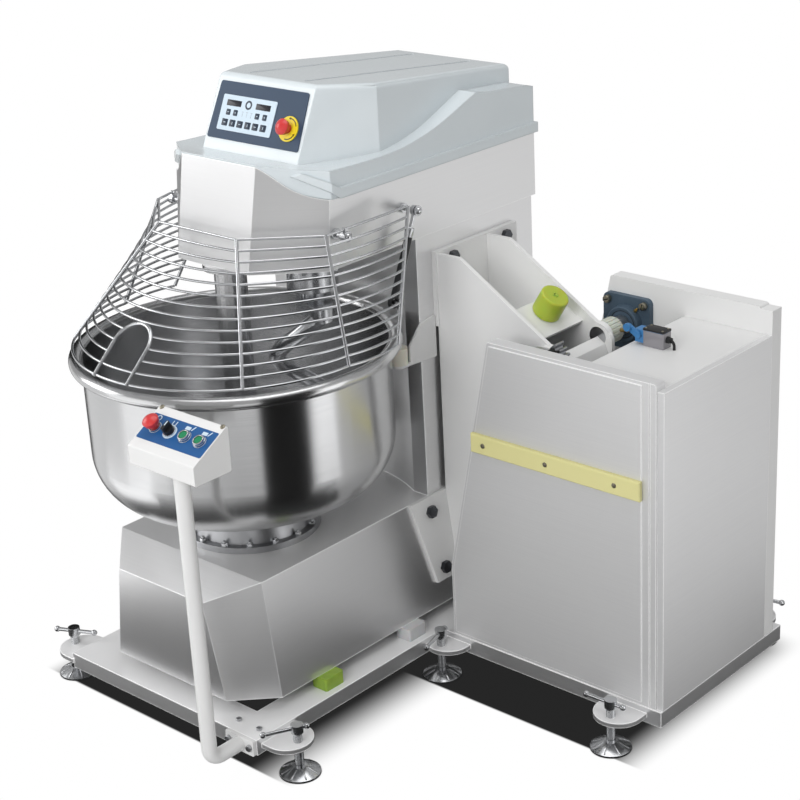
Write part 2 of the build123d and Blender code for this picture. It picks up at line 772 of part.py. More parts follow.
# Flange bearings on the two walls, and their bolts
front_seat = inner_front + SEAT
rear_seat = rear_face - SEAT
pivot = [(PIVOT_X, PIVOT_Z)]
bearings = [
    (front_seat, -1, SMALL_BEARING, SMALL_PITCH, SMALL_HUB),
    (rear_seat, 1, BEARING_WIDTH, BEARING_PITCH, BEARING_HUB),
]
with BuildPart() as tilt_bearings:
    for seat, way, width, pitch, hub in bearings:
        with BuildSketch(facing(seat)):
            with Locations(*pivot):
                RectangleRounded(width, width, BEARING_ROUND)
        extrude(amount=way * BEARING_PLATE)
        with BuildSketch(facing(seat)):
            with Locations(*pivot):
                Circle(hub)
        extrude(amount=way * BEARING_LENGTH, taper=BEARING_TAPER)
        disc(facing(seat), pivot, SHAFT_RADIUS + RUN, way * BEARING_LENGTH, Mode.SUBTRACT)
        disc(facing(seat), bolts_at(pitch), BEARING_BOLT + SEAT, way * BEARING_PLATE, Mode.SUBTRACT)
save(tilt_bearings, "tilt_bearings")

with BuildPart() as bearing_bolts:
    for seat, way, width, pitch, hub in bearings:
        grip = BEARING_PLATE + SEAT + (SHEET + BEARING_BOLT_END if way > 0 else 0)
        head = facing(seat - way * (BEARING_PLATE + SEAT))
        disc(head, bolts_at(pitch), BEARING_HEAD, way * BEARING_HEAD_LENGTH)
        disc(head, bolts_at(pitch), BEARING_BOLT, -way * grip)
save(bearing_bolts, "bearing_bolts")


# Tilting gear: a toothed segment on the shaft and the pinion of the gear motor below it
def involute(angle):
    return tan(angle) - angle


def tooth_points(teeth, centres):
    """Outline of the teeth whose middles lie at the given angles, in order."""
    pressure = radians(PRESSURE_ANGLE)
    pitch = GEAR_MODULE * teeth / 2
    base = pitch * cos(pressure)
    root = pitch - 1.25 * GEAR_MODULE
    tip = pitch + 0.9 * GEAR_MODULE
    half = (pi * GEAR_MODULE / 2 - BACKLASH) / (2 * pitch) + involute(pressure)
    low = max(base, root)
    flank_steps = [(low + (tip - low) * i / 4) for i in range(5)]
    widths = [(root, half)] if root < base else []
    widths += [(r, half - involute(acos(min(1.0, base / r)))) for r in flank_steps]
    points = []
    for middle in centres:
        rising = [(r, middle - w) for r, w in widths]
        falling = [(r, middle + w) for r, w in reversed(widths)]
        points += [(r * cos(a), r * sin(a)) for r, a in rising + falling]
    return points


gear_step = 2 * pi / GEAR_TEETH
pinion_step = 2 * pi / PINION_TEETH
segment = tooth_points(
    GEAR_TEETH,
    [-pi / 2 + gear_step * k for k in range(-GEAR_BEFORE, GEAR_AFTER + 1)],
)
with BuildPart() as tilt_gear:
    with BuildSketch(facing(GEAR_Y)):
        outline([(PIVOT_X + x, PIVOT_Z + z) for x, z in segment + [(0.0, 0.0)]])
        with Locations(*pivot):
            Circle(GEAR_BOSS)
    extrude(amount=-GEAR_WIDTH)
    disc(facing(GEAR_Y), pivot, SHAFT_RADIUS + RUN, -GEAR_WIDTH, Mode.SUBTRACT)
save(tilt_gear, "tilt_gear")

wheel = tooth_points(PINION_TEETH, [pi / 2 + pinion_step * (k + 0.5) for k in range(PINION_TEETH)])
reducer_y = GEAR_Y + GEAR_WIDTH + REDUCER_GAP
pinion_at = [(PIVOT_X, pinion_z)]
with BuildPart() as tilt_pinion:
    with BuildSketch(facing(GEAR_Y)):
        outline([(PIVOT_X + x, pinion_z + z) for x, z in wheel])
    extrude(amount=-GEAR_WIDTH)
    disc(facing(GEAR_Y), pinion_at, PINION_SHAFT, -(GEAR_WIDTH + PINION_REACH))
save(tilt_pinion, "tilt_pinion")

with BuildPart() as tilt_gearmotor:
    with BuildSketch(facing(reducer_y)):
        with Locations(*pinion_at):
            RectangleRounded(2 * REDUCER_HALF, 2 * REDUCER_HALF, REDUCER_ROUND)
    extrude(amount=-REDUCER_LENGTH)
    disc(facing(reducer_y + REDUCER_LENGTH), pinion_at, GEARMOTOR_RADIUS, -GEARMOTOR_LENGTH)
    bore = PINION_REACH - REDUCER_GAP + BORE_END
    disc(facing(reducer_y), pinion_at, PINION_SHAFT + RUN, -bore, Mode.SUBTRACT)
save(tilt_gearmotor, "tilt_gearmotor")

# Tilting shaft: a stub in each plate of the arm; the rear one carries a nylon collar
shaft_front = inner_front + SHAFT_INSET
shaft_rear = rear_face - SHAFT_INSET
hub_front = ARM_FRONT - ARM_HUB_FRONT
hub_rear = ARM_REAR + ARM_PLATE + ARM_HUB_REAR
arm_inner = ARM_FRONT + ARM_PLATE
with BuildPart() as tilt_shaft:
    disc(facing(shaft_front), pivot, SHAFT_RADIUS, shaft_front - arm_inner)
    disc(facing(ARM_REAR), pivot, SHAFT_RADIUS, ARM_REAR - shaft_rear)
save(tilt_shaft, "tilt_shaft")

with BuildPart() as tilt_collar:
    disc(facing(hub_rear + SEAT), pivot, COLLAR_RADIUS, -COLLAR_LENGTH)
    disc(facing(hub_rear + SEAT), pivot, SHAFT_RADIUS + RUN, -COLLAR_LENGTH, Mode.SUBTRACT)
save(tilt_collar, "tilt_collar")

# Limit switch that stands on the deck, its lever and its lead
switch_z = CAB_DECK + SEAT
head_x = SWITCH_X + SWITCH_HEAD / 2
head_front = SWITCH_Y - SWITCH_HEAD_WIDTH / 2
lever_at = (head_x, switch_z + LEVER_Z)
roller_at = (head_x - LEVER_REACH, switch_z + LEVER_Z + LEVER_RISE)
with BuildPart() as limit_switch:
    with BuildSketch(level(switch_z)):
        with Locations((head_x + SWITCH_LENGTH / 2, SWITCH_Y)):
            RectangleRounded(SWITCH_LENGTH - SWITCH_HEAD, SWITCH_WIDTH, SWITCH_ROUND)
    extrude(amount=SWITCH_HEIGHT)
    with BuildSketch(level(switch_z + SWITCH_HEAD_LIFT)):
        with Locations((head_x, SWITCH_Y)):
            RectangleRounded(SWITCH_HEAD, SWITCH_HEAD_WIDTH, SWITCH_ROUND)
    extrude(amount=SWITCH_HEAD_HEIGHT)
    disc(facing(head_front), [lever_at], LEVER_PIN + RUN, -LEVER_PIN_LENGTH, Mode.SUBTRACT)
save(limit_switch, "limit_switch")

lever_y = head_front - LEVER_GAP - LEVER_THICK
with BuildPart() as switch_lever:
    with BuildSketch(facing(lever_y)):
        with Locations(lever_at, roller_at):
            Circle(LEVER_RADIUS)
        make_hull()
    extrude(amount=-LEVER_THICK)
    disc(facing(lever_y), [lever_at], LEVER_PIN, lever_y - head_front - LEVER_PIN_LENGTH + LEVER_GAP)
    disc(facing(lever_y), [roller_at], LEVER_ROLLER, LEVER_ROLLER_WIDTH)
save(switch_lever, "switch_lever")

lead_z = switch_z + LEAD_Z
with BuildPart() as switch_lead:
    with BuildLine() as lead_path:
        FilletPolyline(
            spot(SWITCH_X + SWITCH_LENGTH + SEAT, SWITCH_Y, lead_z),
            spot(lead_x, SWITCH_Y, lead_z),
            spot(lead_x, SWITCH_Y, CAB_DECK - LEAD_DROP),
            radius=LEAD_BEND,
        )
    with BuildSketch(Plane(origin=lead_path.line @ 0, z_dir=lead_path.line % 0)):
        Circle(LEAD_RADIUS)
    sweep(path=lead_path.line)
save(switch_lead, "switch_lead")

# Lower housing and column, one hollow casing
house_foot = [
    (HOUSE_NOSE, HOUSE_FRONT),
    (HOUSE_HALF, HOUSE_CHEEK),
    (HOUSE_HALF, COLUMN_REAR),
]
house_head = [
    (HOUSE_NOSE_TOP, HOUSE_FRONT - HOUSE_LEAN),
    (COLUMN_HALF, HOUSE_CHEEK),
    (COLUMN_HALF, COLUMN_REAR),
]


def shrunk(points, inset):
    """Right half of a housing outline moved inwards by about inset."""
    (xn, yn), (xc, yc), (xr, yr) = points
    return [(xn - inset * 0.5, yn + inset), (xc - inset, yc + inset * 0.5), (xr - inset, yr - inset)]


side_run = hypot(HOUSE_HALF - COLUMN_HALF, HOUSE_TOP - HOUSE_BOTTOM)
flank_out = (HOUSE_TOP - HOUSE_BOTTOM) / side_run
flank_up = (HOUSE_HALF - COLUMN_HALF) / side_run
flank = Plane(
    origin=spot(COLUMN_HALF, 0, HOUSE_TOP),
    x_dir=(0, 1, 0),
    z_dir=(flank_out, 0, flank_up),
)
flange_bolts = [
    (y, z)
    for y in (FLANGE_BOLT_FRONT, FLANGE_BOLT_REAR)
    for z in (ARM_TOP - FLANGE_BOLT_TOP, ARM_FLANGE_FOOT + FLANGE_BOLT_FOOT)
]
brow_drop = (HOUSE_TOP - HOUSE_BROW) / (HOUSE_CHEEK - HOUSE_FRONT)
column_hollow = BOWL_ROOM + COLUMN_WALL
column_y = (COLUMN_FRONT + COLUMN_REAR) / 2
column_depth = COLUMN_REAR - COLUMN_FRONT
roof_z = HOUSE_TOP - COLUMN_WALL - HOUSE_ROOF
with BuildPart() as column_base:
    with BuildSketch(level(HOUSE_BOTTOM)):
        outline(mirrored(house_foot))
    with BuildSketch(level(HOUSE_TOP)):
        outline(mirrored(house_head))
    loft(ruled=True)
    with BuildSketch(side(-HOUSE_HALF)):
        outline(
            [
                (HOUSE_CHEEK, HOUSE_TOP),
                (HOUSE_FRONT - OVER, HOUSE_TOP - brow_drop * (HOUSE_CHEEK - HOUSE_FRONT + OVER)),
                (HOUSE_FRONT - OVER, HOUSE_TOP + OVER),
                (HOUSE_CHEEK, HOUSE_TOP + OVER),
            ]
        )
    extrude(amount=2 * HOUSE_HALF, mode=Mode.SUBTRACT)
    with BuildSketch(level(HOUSE_TOP)):
        with Locations((0, column_y)):
            Rectangle(2 * COLUMN_HALF, column_depth)
        Circle(BOWL_ROOM, mode=Mode.SUBTRACT)
    extrude(amount=HEAD_BOTTOM - SEAT - HOUSE_TOP)
    # room inside the housing, with a lip left round the bottom
    with BuildSketch(level(HOUSE_BOTTOM + HOUSE_LIP)):
        outline(mirrored(shrunk(house_foot, 2 * COLUMN_WALL)))
    with BuildSketch(level(roof_z)):
        outline(mirrored(shrunk(house_head, 2 * COLUMN_WALL)))
    loft(ruled=True, mode=Mode.SUBTRACT)
    with BuildSketch(level(roof_z)):
        outline(
            mirrored(
                [
                    (HOUSE_NOSE_TOP, HOUSE_CHEEK + 2 * COLUMN_WALL),
                    (COLUMN_HALF - COLUMN_WALL, HOUSE_CHEEK + 6 * COLUMN_WALL),
                    (COLUMN_HALF - COLUMN_WALL, COLUMN_REAR - COLUMN_WALL),
                ]
            )
        )
    extrude(amount=HOUSE_ROOF, mode=Mode.SUBTRACT)
    with BuildSketch(level(HOUSE_BOTTOM)):
        with Locations((0, (HOUSE_HATCH_FRONT + HOUSE_HATCH_REAR) / 2)):
            Rectangle(2 * (HOUSE_HALF - HOUSE_LIP_WIDTH), HOUSE_HATCH_REAR - HOUSE_HATCH_FRONT)
    extrude(amount=HOUSE_LIP, mode=Mode.SUBTRACT)
    # room inside the column, open into the head
    with BuildSketch(level(HOUSE_TOP)):
        with Locations((0, column_y)):
            Rectangle(2 * (COLUMN_HALF - COLUMN_WALL), column_depth - 2 * COLUMN_WALL)
        Circle(column_hollow, mode=Mode.SUBTRACT)
    extrude(amount=HEAD_BOTTOM - HOUSE_TOP, mode=Mode.SUBTRACT)
    # holes for the bowl's shaft, the bowl motor's shaft and the arm's bolts
    top_hole = level(HOUSE_TOP - COLUMN_WALL)
    disc(top_hole, [(0, 0)], BOWL_SHAFT + ROOM, COLUMN_WALL, Mode.SUBTRACT)
    disc(top_hole, [(0, BOWL_MOTOR_Y)], BOWL_MOTOR_SHAFT + ROOM, COLUMN_WALL, Mode.SUBTRACT)
    disc(side(COLUMN_HALF), flange_bolts, BOLT_RADIUS + SEAT, -COLUMN_WALL, Mode.SUBTRACT)
    disc(flank, ARM_FOOT_BOLTS, BOLT_RADIUS + SEAT, -OVER, Mode.SUBTRACT)
save(column_base, "column_base")

# Head: a casing with a leaning front, open at the top
lean_rate = HEAD_LEAN / (HEAD_BROW - HEAD_BOTTOM)


def head_outline(z, inset):
    """Right half of the head's outline at height z, moved inwards by about inset."""
    back = lean_rate * (z - HEAD_BOTTOM)
    nose = HEAD_NOSE + HEAD_NOSE_FLARE * (z - HEAD_BOTTOM) / (HEAD_BROW - HEAD_BOTTOM)
    return [
        (nose - inset * 0.4, HEAD_FRONT + back + inset),
        (HEAD_HALF - inset, HEAD_CHEEK + back * 0.5 + inset * 0.5),
        (HEAD_HALF - inset, HEAD_REAR - inset),
    ]


brow_y = HEAD_FRONT + HEAD_LEAN
cheek_y = HEAD_CHEEK + HEAD_LEAN * 0.5
seam_mid = (brow_y + 0.42 * (cheek_y - brow_y), HEAD_SIDE_TOP + 0.36 * (HEAD_BROW - HEAD_SIDE_TOP))
seam_end = cheek_y + SEAM_RUN
ahead = brow_y - 2 * OVER
far = HEAD_REAR + OVER
across_head = 2 * (HEAD_HALF + OVER)


def seam(lift):
    """Line between the head and its cover in Y and Z, raised by lift, added to the line being built."""
    Line((ahead, HEAD_BROW + lift), (brow_y, HEAD_BROW + lift))
    Spline(
        (brow_y, HEAD_BROW + lift),
        (seam_mid[0], seam_mid[1] + lift),
        (seam_end, HEAD_SIDE_TOP + lift),
        tangents=[(1, -0.9), (1, 0)],
    )
    Line((seam_end, HEAD_SIDE_TOP + lift), (far, HEAD_SIDE_TOP + lift))


with BuildPart() as head_shell:
    with BuildSketch(level(HEAD_BOTTOM)):
        outline(mirrored(head_outline(HEAD_BOTTOM, 0)))
    with BuildSketch(level(HEAD_BROW)):
        outline(mirrored(head_outline(HEAD_BROW, 0)))
    loft(ruled=True)
    with BuildSketch(side(-HEAD_HALF - OVER)):
        with BuildLine():
            seam(0)
            Polyline(
                (far, HEAD_SIDE_TOP),
                (far, HEAD_BROW + OVER),
                (ahead, HEAD_BROW + OVER),
                (ahead, HEAD_BROW),
            )
        make_face()
    extrude(amount=across_head, mode=Mode.SUBTRACT)
    with BuildSketch(level(HEAD_BOTTOM + HEAD_FLOOR)):
        outline(mirrored(head_outline(HEAD_BOTTOM + HEAD_FLOOR, HEAD_WALL)))
    with BuildSketch(level(HEAD_BROW)):
        outline(mirrored(head_outline(HEAD_BROW, HEAD_WALL)))
    loft(ruled=True, mode=Mode.SUBTRACT)
    disc(level(HEAD_BOTTOM), [(SPIRAL_X, SPIRAL_Y)], SPIRAL_SHAFT + ROOM, HEAD_FLOOR, Mode.SUBTRACT)
    disc(level(HEAD_BOTTOM), [(0, SPIRAL_MOTOR_Y)], SPIRAL_MOTOR_SHAFT + ROOM, HEAD_FLOOR, Mode.SUBTRACT)
save(head_shell, "head_shell")

# Cover of the head: a skirt with an S-shaped shoulder and a raised hood
hood_foot = HEAD_BROW - HOOD_SINK
hood_high = HOOD_TOP + OVER
panel_rate = tan(radians(PANEL_LEAN))
shoulder = [(y, HEAD_SIDE_TOP + rise) for y, rise in SHOULDER]
tail = [(y, HEAD_SIDE_TOP + rise) for y, rise in TAIL] + [(far, HEAD_SIDE_TOP + TAIL_END)]
brow = (brow_y, HEAD_BROW + BROW_LIFT)
roof = [(y, z - COVER_SKIN) for y, z in shoulder + tail]
cover_foot = HEAD_SIDE_TOP + 2 * SEAT
cover_height = shoulder[-1][1] - HEAD_SIDE_TOP + OVER


def hood_outline(z, inset):
    """Right half of the hood's outline at height z."""
    front = PANEL_Y + panel_rate * (z - PANEL_Z)
    return [
        (HOOD_NOSE - inset, front + inset),
        (HOOD_FLARE - inset, HOOD_FLARE_Y),
        (HOOD_TAIL - inset, HOOD_REAR - inset),
    ]


def hood_block(inset, foot):
    """Hood with its sloping top, moved inwards by inset, from the height of its foot."""
    front = HOOD_TOP_Y - 2 * OVER
    rear = HOOD_REAR + OVER
    top = HOOD_TOP - inset
    with BuildPart(mode=Mode.PRIVATE) as block:
        with BuildSketch(level(foot)):
            outline(mirrored(hood_outline(foot, inset)))
        with BuildSketch(level(hood_high)):
            outline(mirrored(hood_outline(hood_high, inset)))
        loft(ruled=True)
        with BuildSketch(side(-HOOD_FLARE - OVER)):
            outline(
                [
                    (front, top + HOOD_SLOPE * (HOOD_TOP_Y - front)),
                    (rear, top - HOOD_SLOPE * (rear - HOOD_TOP_Y)),
                    (rear, hood_high + OVER),
                    (front, hood_high + OVER),
                ]
            )
        extrude(amount=2 * (HOOD_FLARE + OVER), mode=Mode.SUBTRACT)
        if not inset:
            fillet(block.faces().sort_by(Axis.Z)[-1].edges(), HOOD_ROUND)
    return block.part


panel = Plane(
    origin=spot(0, PANEL_Y, PANEL_Z),
    x_dir=(1, 0, 0),
    z_dir=(0, -cos(radians(PANEL_LEAN)), sin(radians(PANEL_LEAN))),
)
hood_top = Plane(origin=spot(0, HOOD_TOP_Y, HOOD_TOP), x_dir=(1, 0, 0), z_dir=(0, HOOD_SLOPE, 1))
groove_y = ((GROOVE_FRONT + GROOVE_REAR) / 2 - HOOD_TOP_Y) * hypot(1, HOOD_SLOPE)
estop_at = (ESTOP_X, ESTOP_Y)
outer_hood = hood_block(0.0, hood_foot)
inner_hood = hood_block(HEAD_WALL, hood_foot - HOOD_OPEN)
# lip that stands proud round the sides and the back
lip_top = HEAD_SIDE_TOP + LIP_HEIGHT
with BuildPart() as lip:
    with BuildSketch(level(HEAD_SIDE_TOP)):
        outline(mirrored(head_outline(HEAD_BROW, -LIP)))
    extrude(amount=cover_height)
    with BuildSketch(side(-HEAD_HALF - OVER)):
        with BuildLine():
            Polyline(
                (seam_end, cover_foot),
                (far, cover_foot),
                (far, lip_top),
                (seam_end, lip_top),
                *[(cheek_y - back, lip_top + rise) for back, rise in LIP_NOSE],
                (seam_end, cover_foot),
            )
        make_face()
    extrude(amount=across_head, mode=Mode.INTERSECT)

# room inside the cover
with BuildPart() as room:
    with BuildSketch(level(HEAD_SIDE_TOP - OVER)):
        outline(mirrored(head_outline(HEAD_BROW, COVER_WALL)))
    extrude(amount=cover_height + OVER)
    with BuildSketch(side(-HEAD_HALF - OVER)):
        outline(
            [
                (brow_y + COVER_NOSE, HEAD_SIDE_TOP - OVER),
                (far, HEAD_SIDE_TOP - OVER),
                *reversed(roof),
                (brow_y + COVER_NOSE, HEAD_BROW - BROW_SKIN),
            ]
        )
    extrude(amount=across_head, mode=Mode.INTERSECT)

with BuildPart() as head_cover:
    with BuildSketch(level(HEAD_SIDE_TOP)):
        outline(mirrored(head_outline(HEAD_BROW, 0)))
    extrude(amount=cover_height)
    with BuildSketch(side(-HEAD_HALF - OVER)):
        with BuildLine():
            seam(2 * SEAT)
            Polyline((far, cover_foot), *reversed(tail), shoulder[-1])
            Spline(*reversed(shoulder), brow)
            Polyline(brow, (ahead, HEAD_BROW + BROW_LIFT), (ahead, HEAD_BROW + 2 * SEAT))
        make_face()
    extrude(amount=across_head, mode=Mode.INTERSECT)
    add(lip.part)
    add(outer_hood)
    add(room.part, mode=Mode.SUBTRACT)
    add(inner_hood, mode=Mode.SUBTRACT)
    with BuildSketch(hood_top):
        with Locations((-GROOVE_X, groove_y), (GROOVE_X, groove_y)):
            SlotOverall(GROOVE_REAR - GROOVE_FRONT, GROOVE_WIDTH, rotation=90)
    extrude(amount=-GROOVE_DEPTH, mode=Mode.SUBTRACT)
    disc(panel, [estop_at], STEM_RADIUS + FREE, STEM_DEPTH, Mode.SUBTRACT, both=True)
save(head_cover, "head_cover")

# Control panel on the hood: plate, keypad, and the stop button with its disc
with BuildPart() as panel_plate:
    with BuildSketch(panel.offset(SEAT)) as plate_face:
        outline(
            [
                (-PANEL_FOOT_HALF, PANEL_START),
                (PANEL_FOOT_HALF, PANEL_START),
                (PANEL_TOP_HALF, PANEL_LENGTH),
                (-PANEL_TOP_HALF, PANEL_LENGTH),
            ]
        )
        fillet(plate_face.vertices(), PANEL_ROUND)
        with Locations(estop_at):
            Circle(STEM_RADIUS + FREE, mode=Mode.SUBTRACT)
    extrude(amount=PANEL_THICK)
save(panel_plate, "panel_plate")

disc_seat = PANEL_THICK + 2 * SEAT
with BuildPart() as keypad:
    with BuildSketch(panel.offset(disc_seat)):
        with Locations((KEYPAD_X, KEYPAD_Y)):
            RectangleRounded(KEYPAD_WIDTH, KEYPAD_HEIGHT, KEYPAD_ROUND)
    extrude(amount=KEYPAD_THICK)
save(keypad, "keypad")

with BuildPart() as estop_disc:
    disc(panel.offset(disc_seat), [estop_at], DISC_RADIUS, DISC_THICK)
    disc(panel.offset(disc_seat), [estop_at], STEM_RADIUS + FREE, DISC_THICK, Mode.SUBTRACT)
save(estop_disc, "estop_disc")


def stop_button(plane, at, lift):
    """Mushroom button with its stem, added to the part being built."""
    centre = plane.from_local_coords((at[0], at[1], 0))
    profile = Plane(origin=centre, x_dir=plane.x_dir, z_dir=-plane.y_dir)
    ball = (KNOB_RADIUS**2 + KNOB_DOME**2) / (2 * KNOB_DOME)
    lean = asin(KNOB_RADIUS / ball)
    edge = lift + KNOB_SKIRT
    with BuildSketch(profile) as half:
        with BuildLine():
            Polyline(
                (0, -STEM_DEPTH),
                (STEM_RADIUS, -STEM_DEPTH),
                (STEM_RADIUS, lift),
                (KNOB_RADIUS - KNOB_TAPER, lift),
                (KNOB_RADIUS, edge),
            )
            ThreePointArc(
                (KNOB_RADIUS, edge),
                (ball * sin(lean / 2), edge + KNOB_DOME - ball * (1 - cos(lean / 2))),
                (0, edge + KNOB_DOME),
            )
            Line((0, edge + KNOB_DOME), (0, -STEM_DEPTH))
        make_face()
    revolve(half.sketch, axis=Axis(centre, plane.z_dir))


with BuildPart() as panel_estop:
    stop_button(panel, estop_at, disc_seat + DISC_THICK + ESTOP_LIFT)
save(panel_estop, "panel_estop")

# Bowl: a spun shell with a rolled rim
wall_inside = BOWL_RADIUS - BOWL_WALL
corner_low = BOWL_FLOOR + BOWL_CORNER
bend = BOWL_RADIUS - BOWL_CORNER
dip = cos(pi / 4)
inner_corner = BOWL_CORNER - BOWL_WALL
bowl_axis = Axis(spot(0, 0, 0), (0, 0, 1))
with BuildPart() as bowl:
    with BuildSketch(facing(0)):
        with BuildLine():
            Line((0, BOWL_FLOOR), (bend, BOWL_FLOOR))
            ThreePointArc(
                (bend, BOWL_FLOOR),
                (bend + BOWL_CORNER * dip, corner_low - BOWL_CORNER * dip),
                (BOWL_RADIUS, corner_low),
            )
            Polyline(
                (BOWL_RADIUS, corner_low),
                (BOWL_RADIUS, RIM_Z + RIM_LIP),
                (wall_inside, RIM_Z + RIM_LIP),
                (wall_inside, corner_low),
            )
            ThreePointArc(
                (wall_inside, corner_low),
                (bend + inner_corner * dip, corner_low - inner_corner * dip),
                (bend, BOWL_FLOOR + BOWL_WALL),
            )
            Polyline((bend, BOWL_FLOOR + BOWL_WALL), (0, BOWL_FLOOR + BOWL_WALL), (0, BOWL_FLOOR))
        make_face()
        with Locations((BOWL_RADIUS + RIM_TUBE - RIM_WELD, RIM_Z)):
            Circle(RIM_TUBE)
    revolve(axis=bowl_axis)
save(bowl, "bowl")

# Drive of the bowl: flanged shaft with its pulley, bearing pedestal, motor, motor pulley and belt
flange_top = BOWL_FLOOR - SEAT
flange_low = flange_top - DRIVE_FLANGE_THICK
belt_top = BELT_Z + BELT_WIDTH
pedestal_top = BOWL_FLOOR - PEDESTAL_GAP
with BuildPart() as bowl_drive:
    with BuildSketch(facing(0)):
        outline(
            [
                (0, BELT_Z - BOWL_SHAFT_END),
                (BOWL_SHAFT, BELT_Z - BOWL_SHAFT_END),
                (BOWL_SHAFT, BELT_Z),
                (BOWL_PULLEY, BELT_Z),
                (BOWL_PULLEY, belt_top),
                (BOWL_SHAFT + PULLEY_BOSS, belt_top),
                (BOWL_SHAFT, belt_top + PULLEY_BOSS_LENGTH),
                (BOWL_SHAFT, flange_low),
                (DRIVE_FLANGE, flange_low),
                (DRIVE_FLANGE, flange_top),
                (0, flange_top),
            ]
        )
    revolve(axis=bowl_axis)
save(bowl_drive, "bowl_drive")

pedestal_foot = HOUSE_TOP + SEAT
with BuildPart() as bowl_pedestal:
    with BuildSketch(facing(0)):
        outline(
            [
                (BOWL_SHAFT + RUN, pedestal_foot),
                (BOWL_SHAFT + PEDESTAL_BUSH, pedestal_foot),
                (BOWL_SHAFT + PEDESTAL_BUSH, pedestal_top - PEDESTAL_ROOF),
                (PEDESTAL_TOP_INNER, pedestal_top - PEDESTAL_ROOF),
                (PEDESTAL_FOOT_INNER, pedestal_foot),
                (PEDESTAL_FOOT, pedestal_foot),
                (PEDESTAL_FOOT, pedestal_foot + PEDESTAL_FOOT_THICK),
                (PEDESTAL_FOOT_OUTER, pedestal_foot + PEDESTAL_FOOT_THICK),
                (PEDESTAL_TOP_OUTER, pedestal_top - PEDESTAL_EDGE),
                (BOWL_SHAFT + RUN, pedestal_top - PEDESTAL_CROWN),
            ]
        )
    revolve(axis=bowl_axis)
save(bowl_pedestal, "bowl_pedestal")

motor_seat = HOUSE_TOP + SEAT
bowl_motor_at = [(0, BOWL_MOTOR_Y)]
with BuildPart() as bowl_motor:
    disc(level(motor_seat), bowl_motor_at, BOWL_MOTOR_FLANGE, BOWL_MOTOR_FLANGE_THICK)
    disc(level(motor_seat), bowl_motor_at, BOWL_MOTOR_RADIUS, BOWL_MOTOR_LENGTH)
    bore = BOWL_MOTOR_SHAFT_IN + BORE_END
    disc(level(motor_seat), bowl_motor_at, BOWL_MOTOR_SHAFT + RUN, bore, Mode.SUBTRACT)
save(bowl_motor, "bowl_motor")

with BuildPart() as bowl_motor_pulley:
    disc(level(BELT_Z), bowl_motor_at, MOTOR_PULLEY, BELT_WIDTH)
    disc(level(BELT_Z), bowl_motor_at, BOWL_MOTOR_SHAFT, motor_seat + BOWL_MOTOR_SHAFT_IN - BELT_Z)
save(bowl_motor_pulley, "bowl_motor_pulley")

with BuildPart() as bowl_belt:
    belt(level(BELT_Z), (0, 0, BOWL_PULLEY), (0, BOWL_MOTOR_Y, MOTOR_PULLEY), BELT_WIDTH)
save(bowl_belt, "bowl_belt")

# Spiral: shaft, crank and a helical bar; its bearing hub, pulley, motor and belt
crank_angle = radians(CRANK_WAY)
hub_seat = HEAD_BOTTOM - SEAT
hub_foot = SPIRAL_TOP + HUB_LIFT
shaft_end = SPIRAL_BELT_Z + SPIRAL_SHAFT_END
spiral_at = [(SPIRAL_X, SPIRAL_Y)]
crank_end = (SPIRAL_X + SPIRAL_RADIUS * cos(crank_angle), SPIRAL_Y + SPIRAL_RADIUS * sin(crank_angle))
with BuildPart() as spiral_hook:
    disc(level(SPIRAL_TOP), spiral_at, SPIRAL_SHAFT, shaft_end - SPIRAL_TOP)
    with BuildSketch(level(SPIRAL_TOP - CRANK_DROP)):
        with Locations(*spiral_at):
            Circle(CRANK_BOSS)
        with Locations(crank_end):
            Circle(CRANK_TIP)
        make_hull()
    extrude(amount=CRANK_THICK)
    with BuildLine() as coil:
        Helix(
            pitch=(SPIRAL_TOP - SPIRAL_END) * 360 / SPIRAL_TURN,
            height=SPIRAL_TOP - SPIRAL_END,
            radius=SPIRAL_RADIUS,
            center=spot(SPIRAL_X, SPIRAL_Y, SPIRAL_TOP),
            direction=(0, 0, -1),
        )
    coil_way = atan2(
        (coil.line @ 0).Y - BOWL_Y - SPIRAL_Y,
        (coil.line @ 0).X - MIXER_X - SPIRAL_X,
    )
    turned = coil.line.rotate(
        Axis(spot(SPIRAL_X, SPIRAL_Y, 0), (0, 0, 1)),
        degrees(crank_angle - coil_way),
    )
    with BuildSketch(Plane(origin=turned @ 0, z_dir=turned % 0)):
        Circle(SPIRAL_BAR)
    sweep(path=turned, is_frenet=True)
    with Locations(Location(turned @ 1)):
        Sphere(SPIRAL_BAR)
save(spiral_hook, "spiral_hook")

with BuildPart() as spiral_hub:
    disc(level(hub_foot), spiral_at, HUB_RADIUS, hub_seat - hub_foot)
    disc(level(hub_seat), spiral_at, HUB_FLANGE, -HUB_FLANGE_THICK)
    disc(level(hub_foot), spiral_at, SPIRAL_SHAFT + RUN, hub_seat - hub_foot, Mode.SUBTRACT)
    with BuildSketch(Plane(origin=spot(SPIRAL_X, SPIRAL_Y, hub_seat - HUB_FLANGE_THICK))):
        with PolarLocations(HUB_BOLT_PITCH, HUB_BOLT_COUNT):
            RegularPolygon(radius=HUB_BOLT_RADIUS, side_count=6, major_radius=False)
    extrude(amount=-HUB_BOLT_HEIGHT)
save(spiral_hub, "spiral_hub")

boss_z = SPIRAL_BELT_Z + BELT_WIDTH
with BuildPart() as spiral_pulley:
    disc(level(SPIRAL_BELT_Z), spiral_at, SPIRAL_PULLEY, BELT_WIDTH)
    disc(level(boss_z), spiral_at, SPIRAL_PULLEY_BOSS, SPIRAL_PULLEY_BOSS_LENGTH)
    bore = BELT_WIDTH + SPIRAL_PULLEY_BOSS_LENGTH
    disc(level(SPIRAL_BELT_Z), spiral_at, SPIRAL_SHAFT + RUN, bore, Mode.SUBTRACT)
save(spiral_pulley, "spiral_pulley")

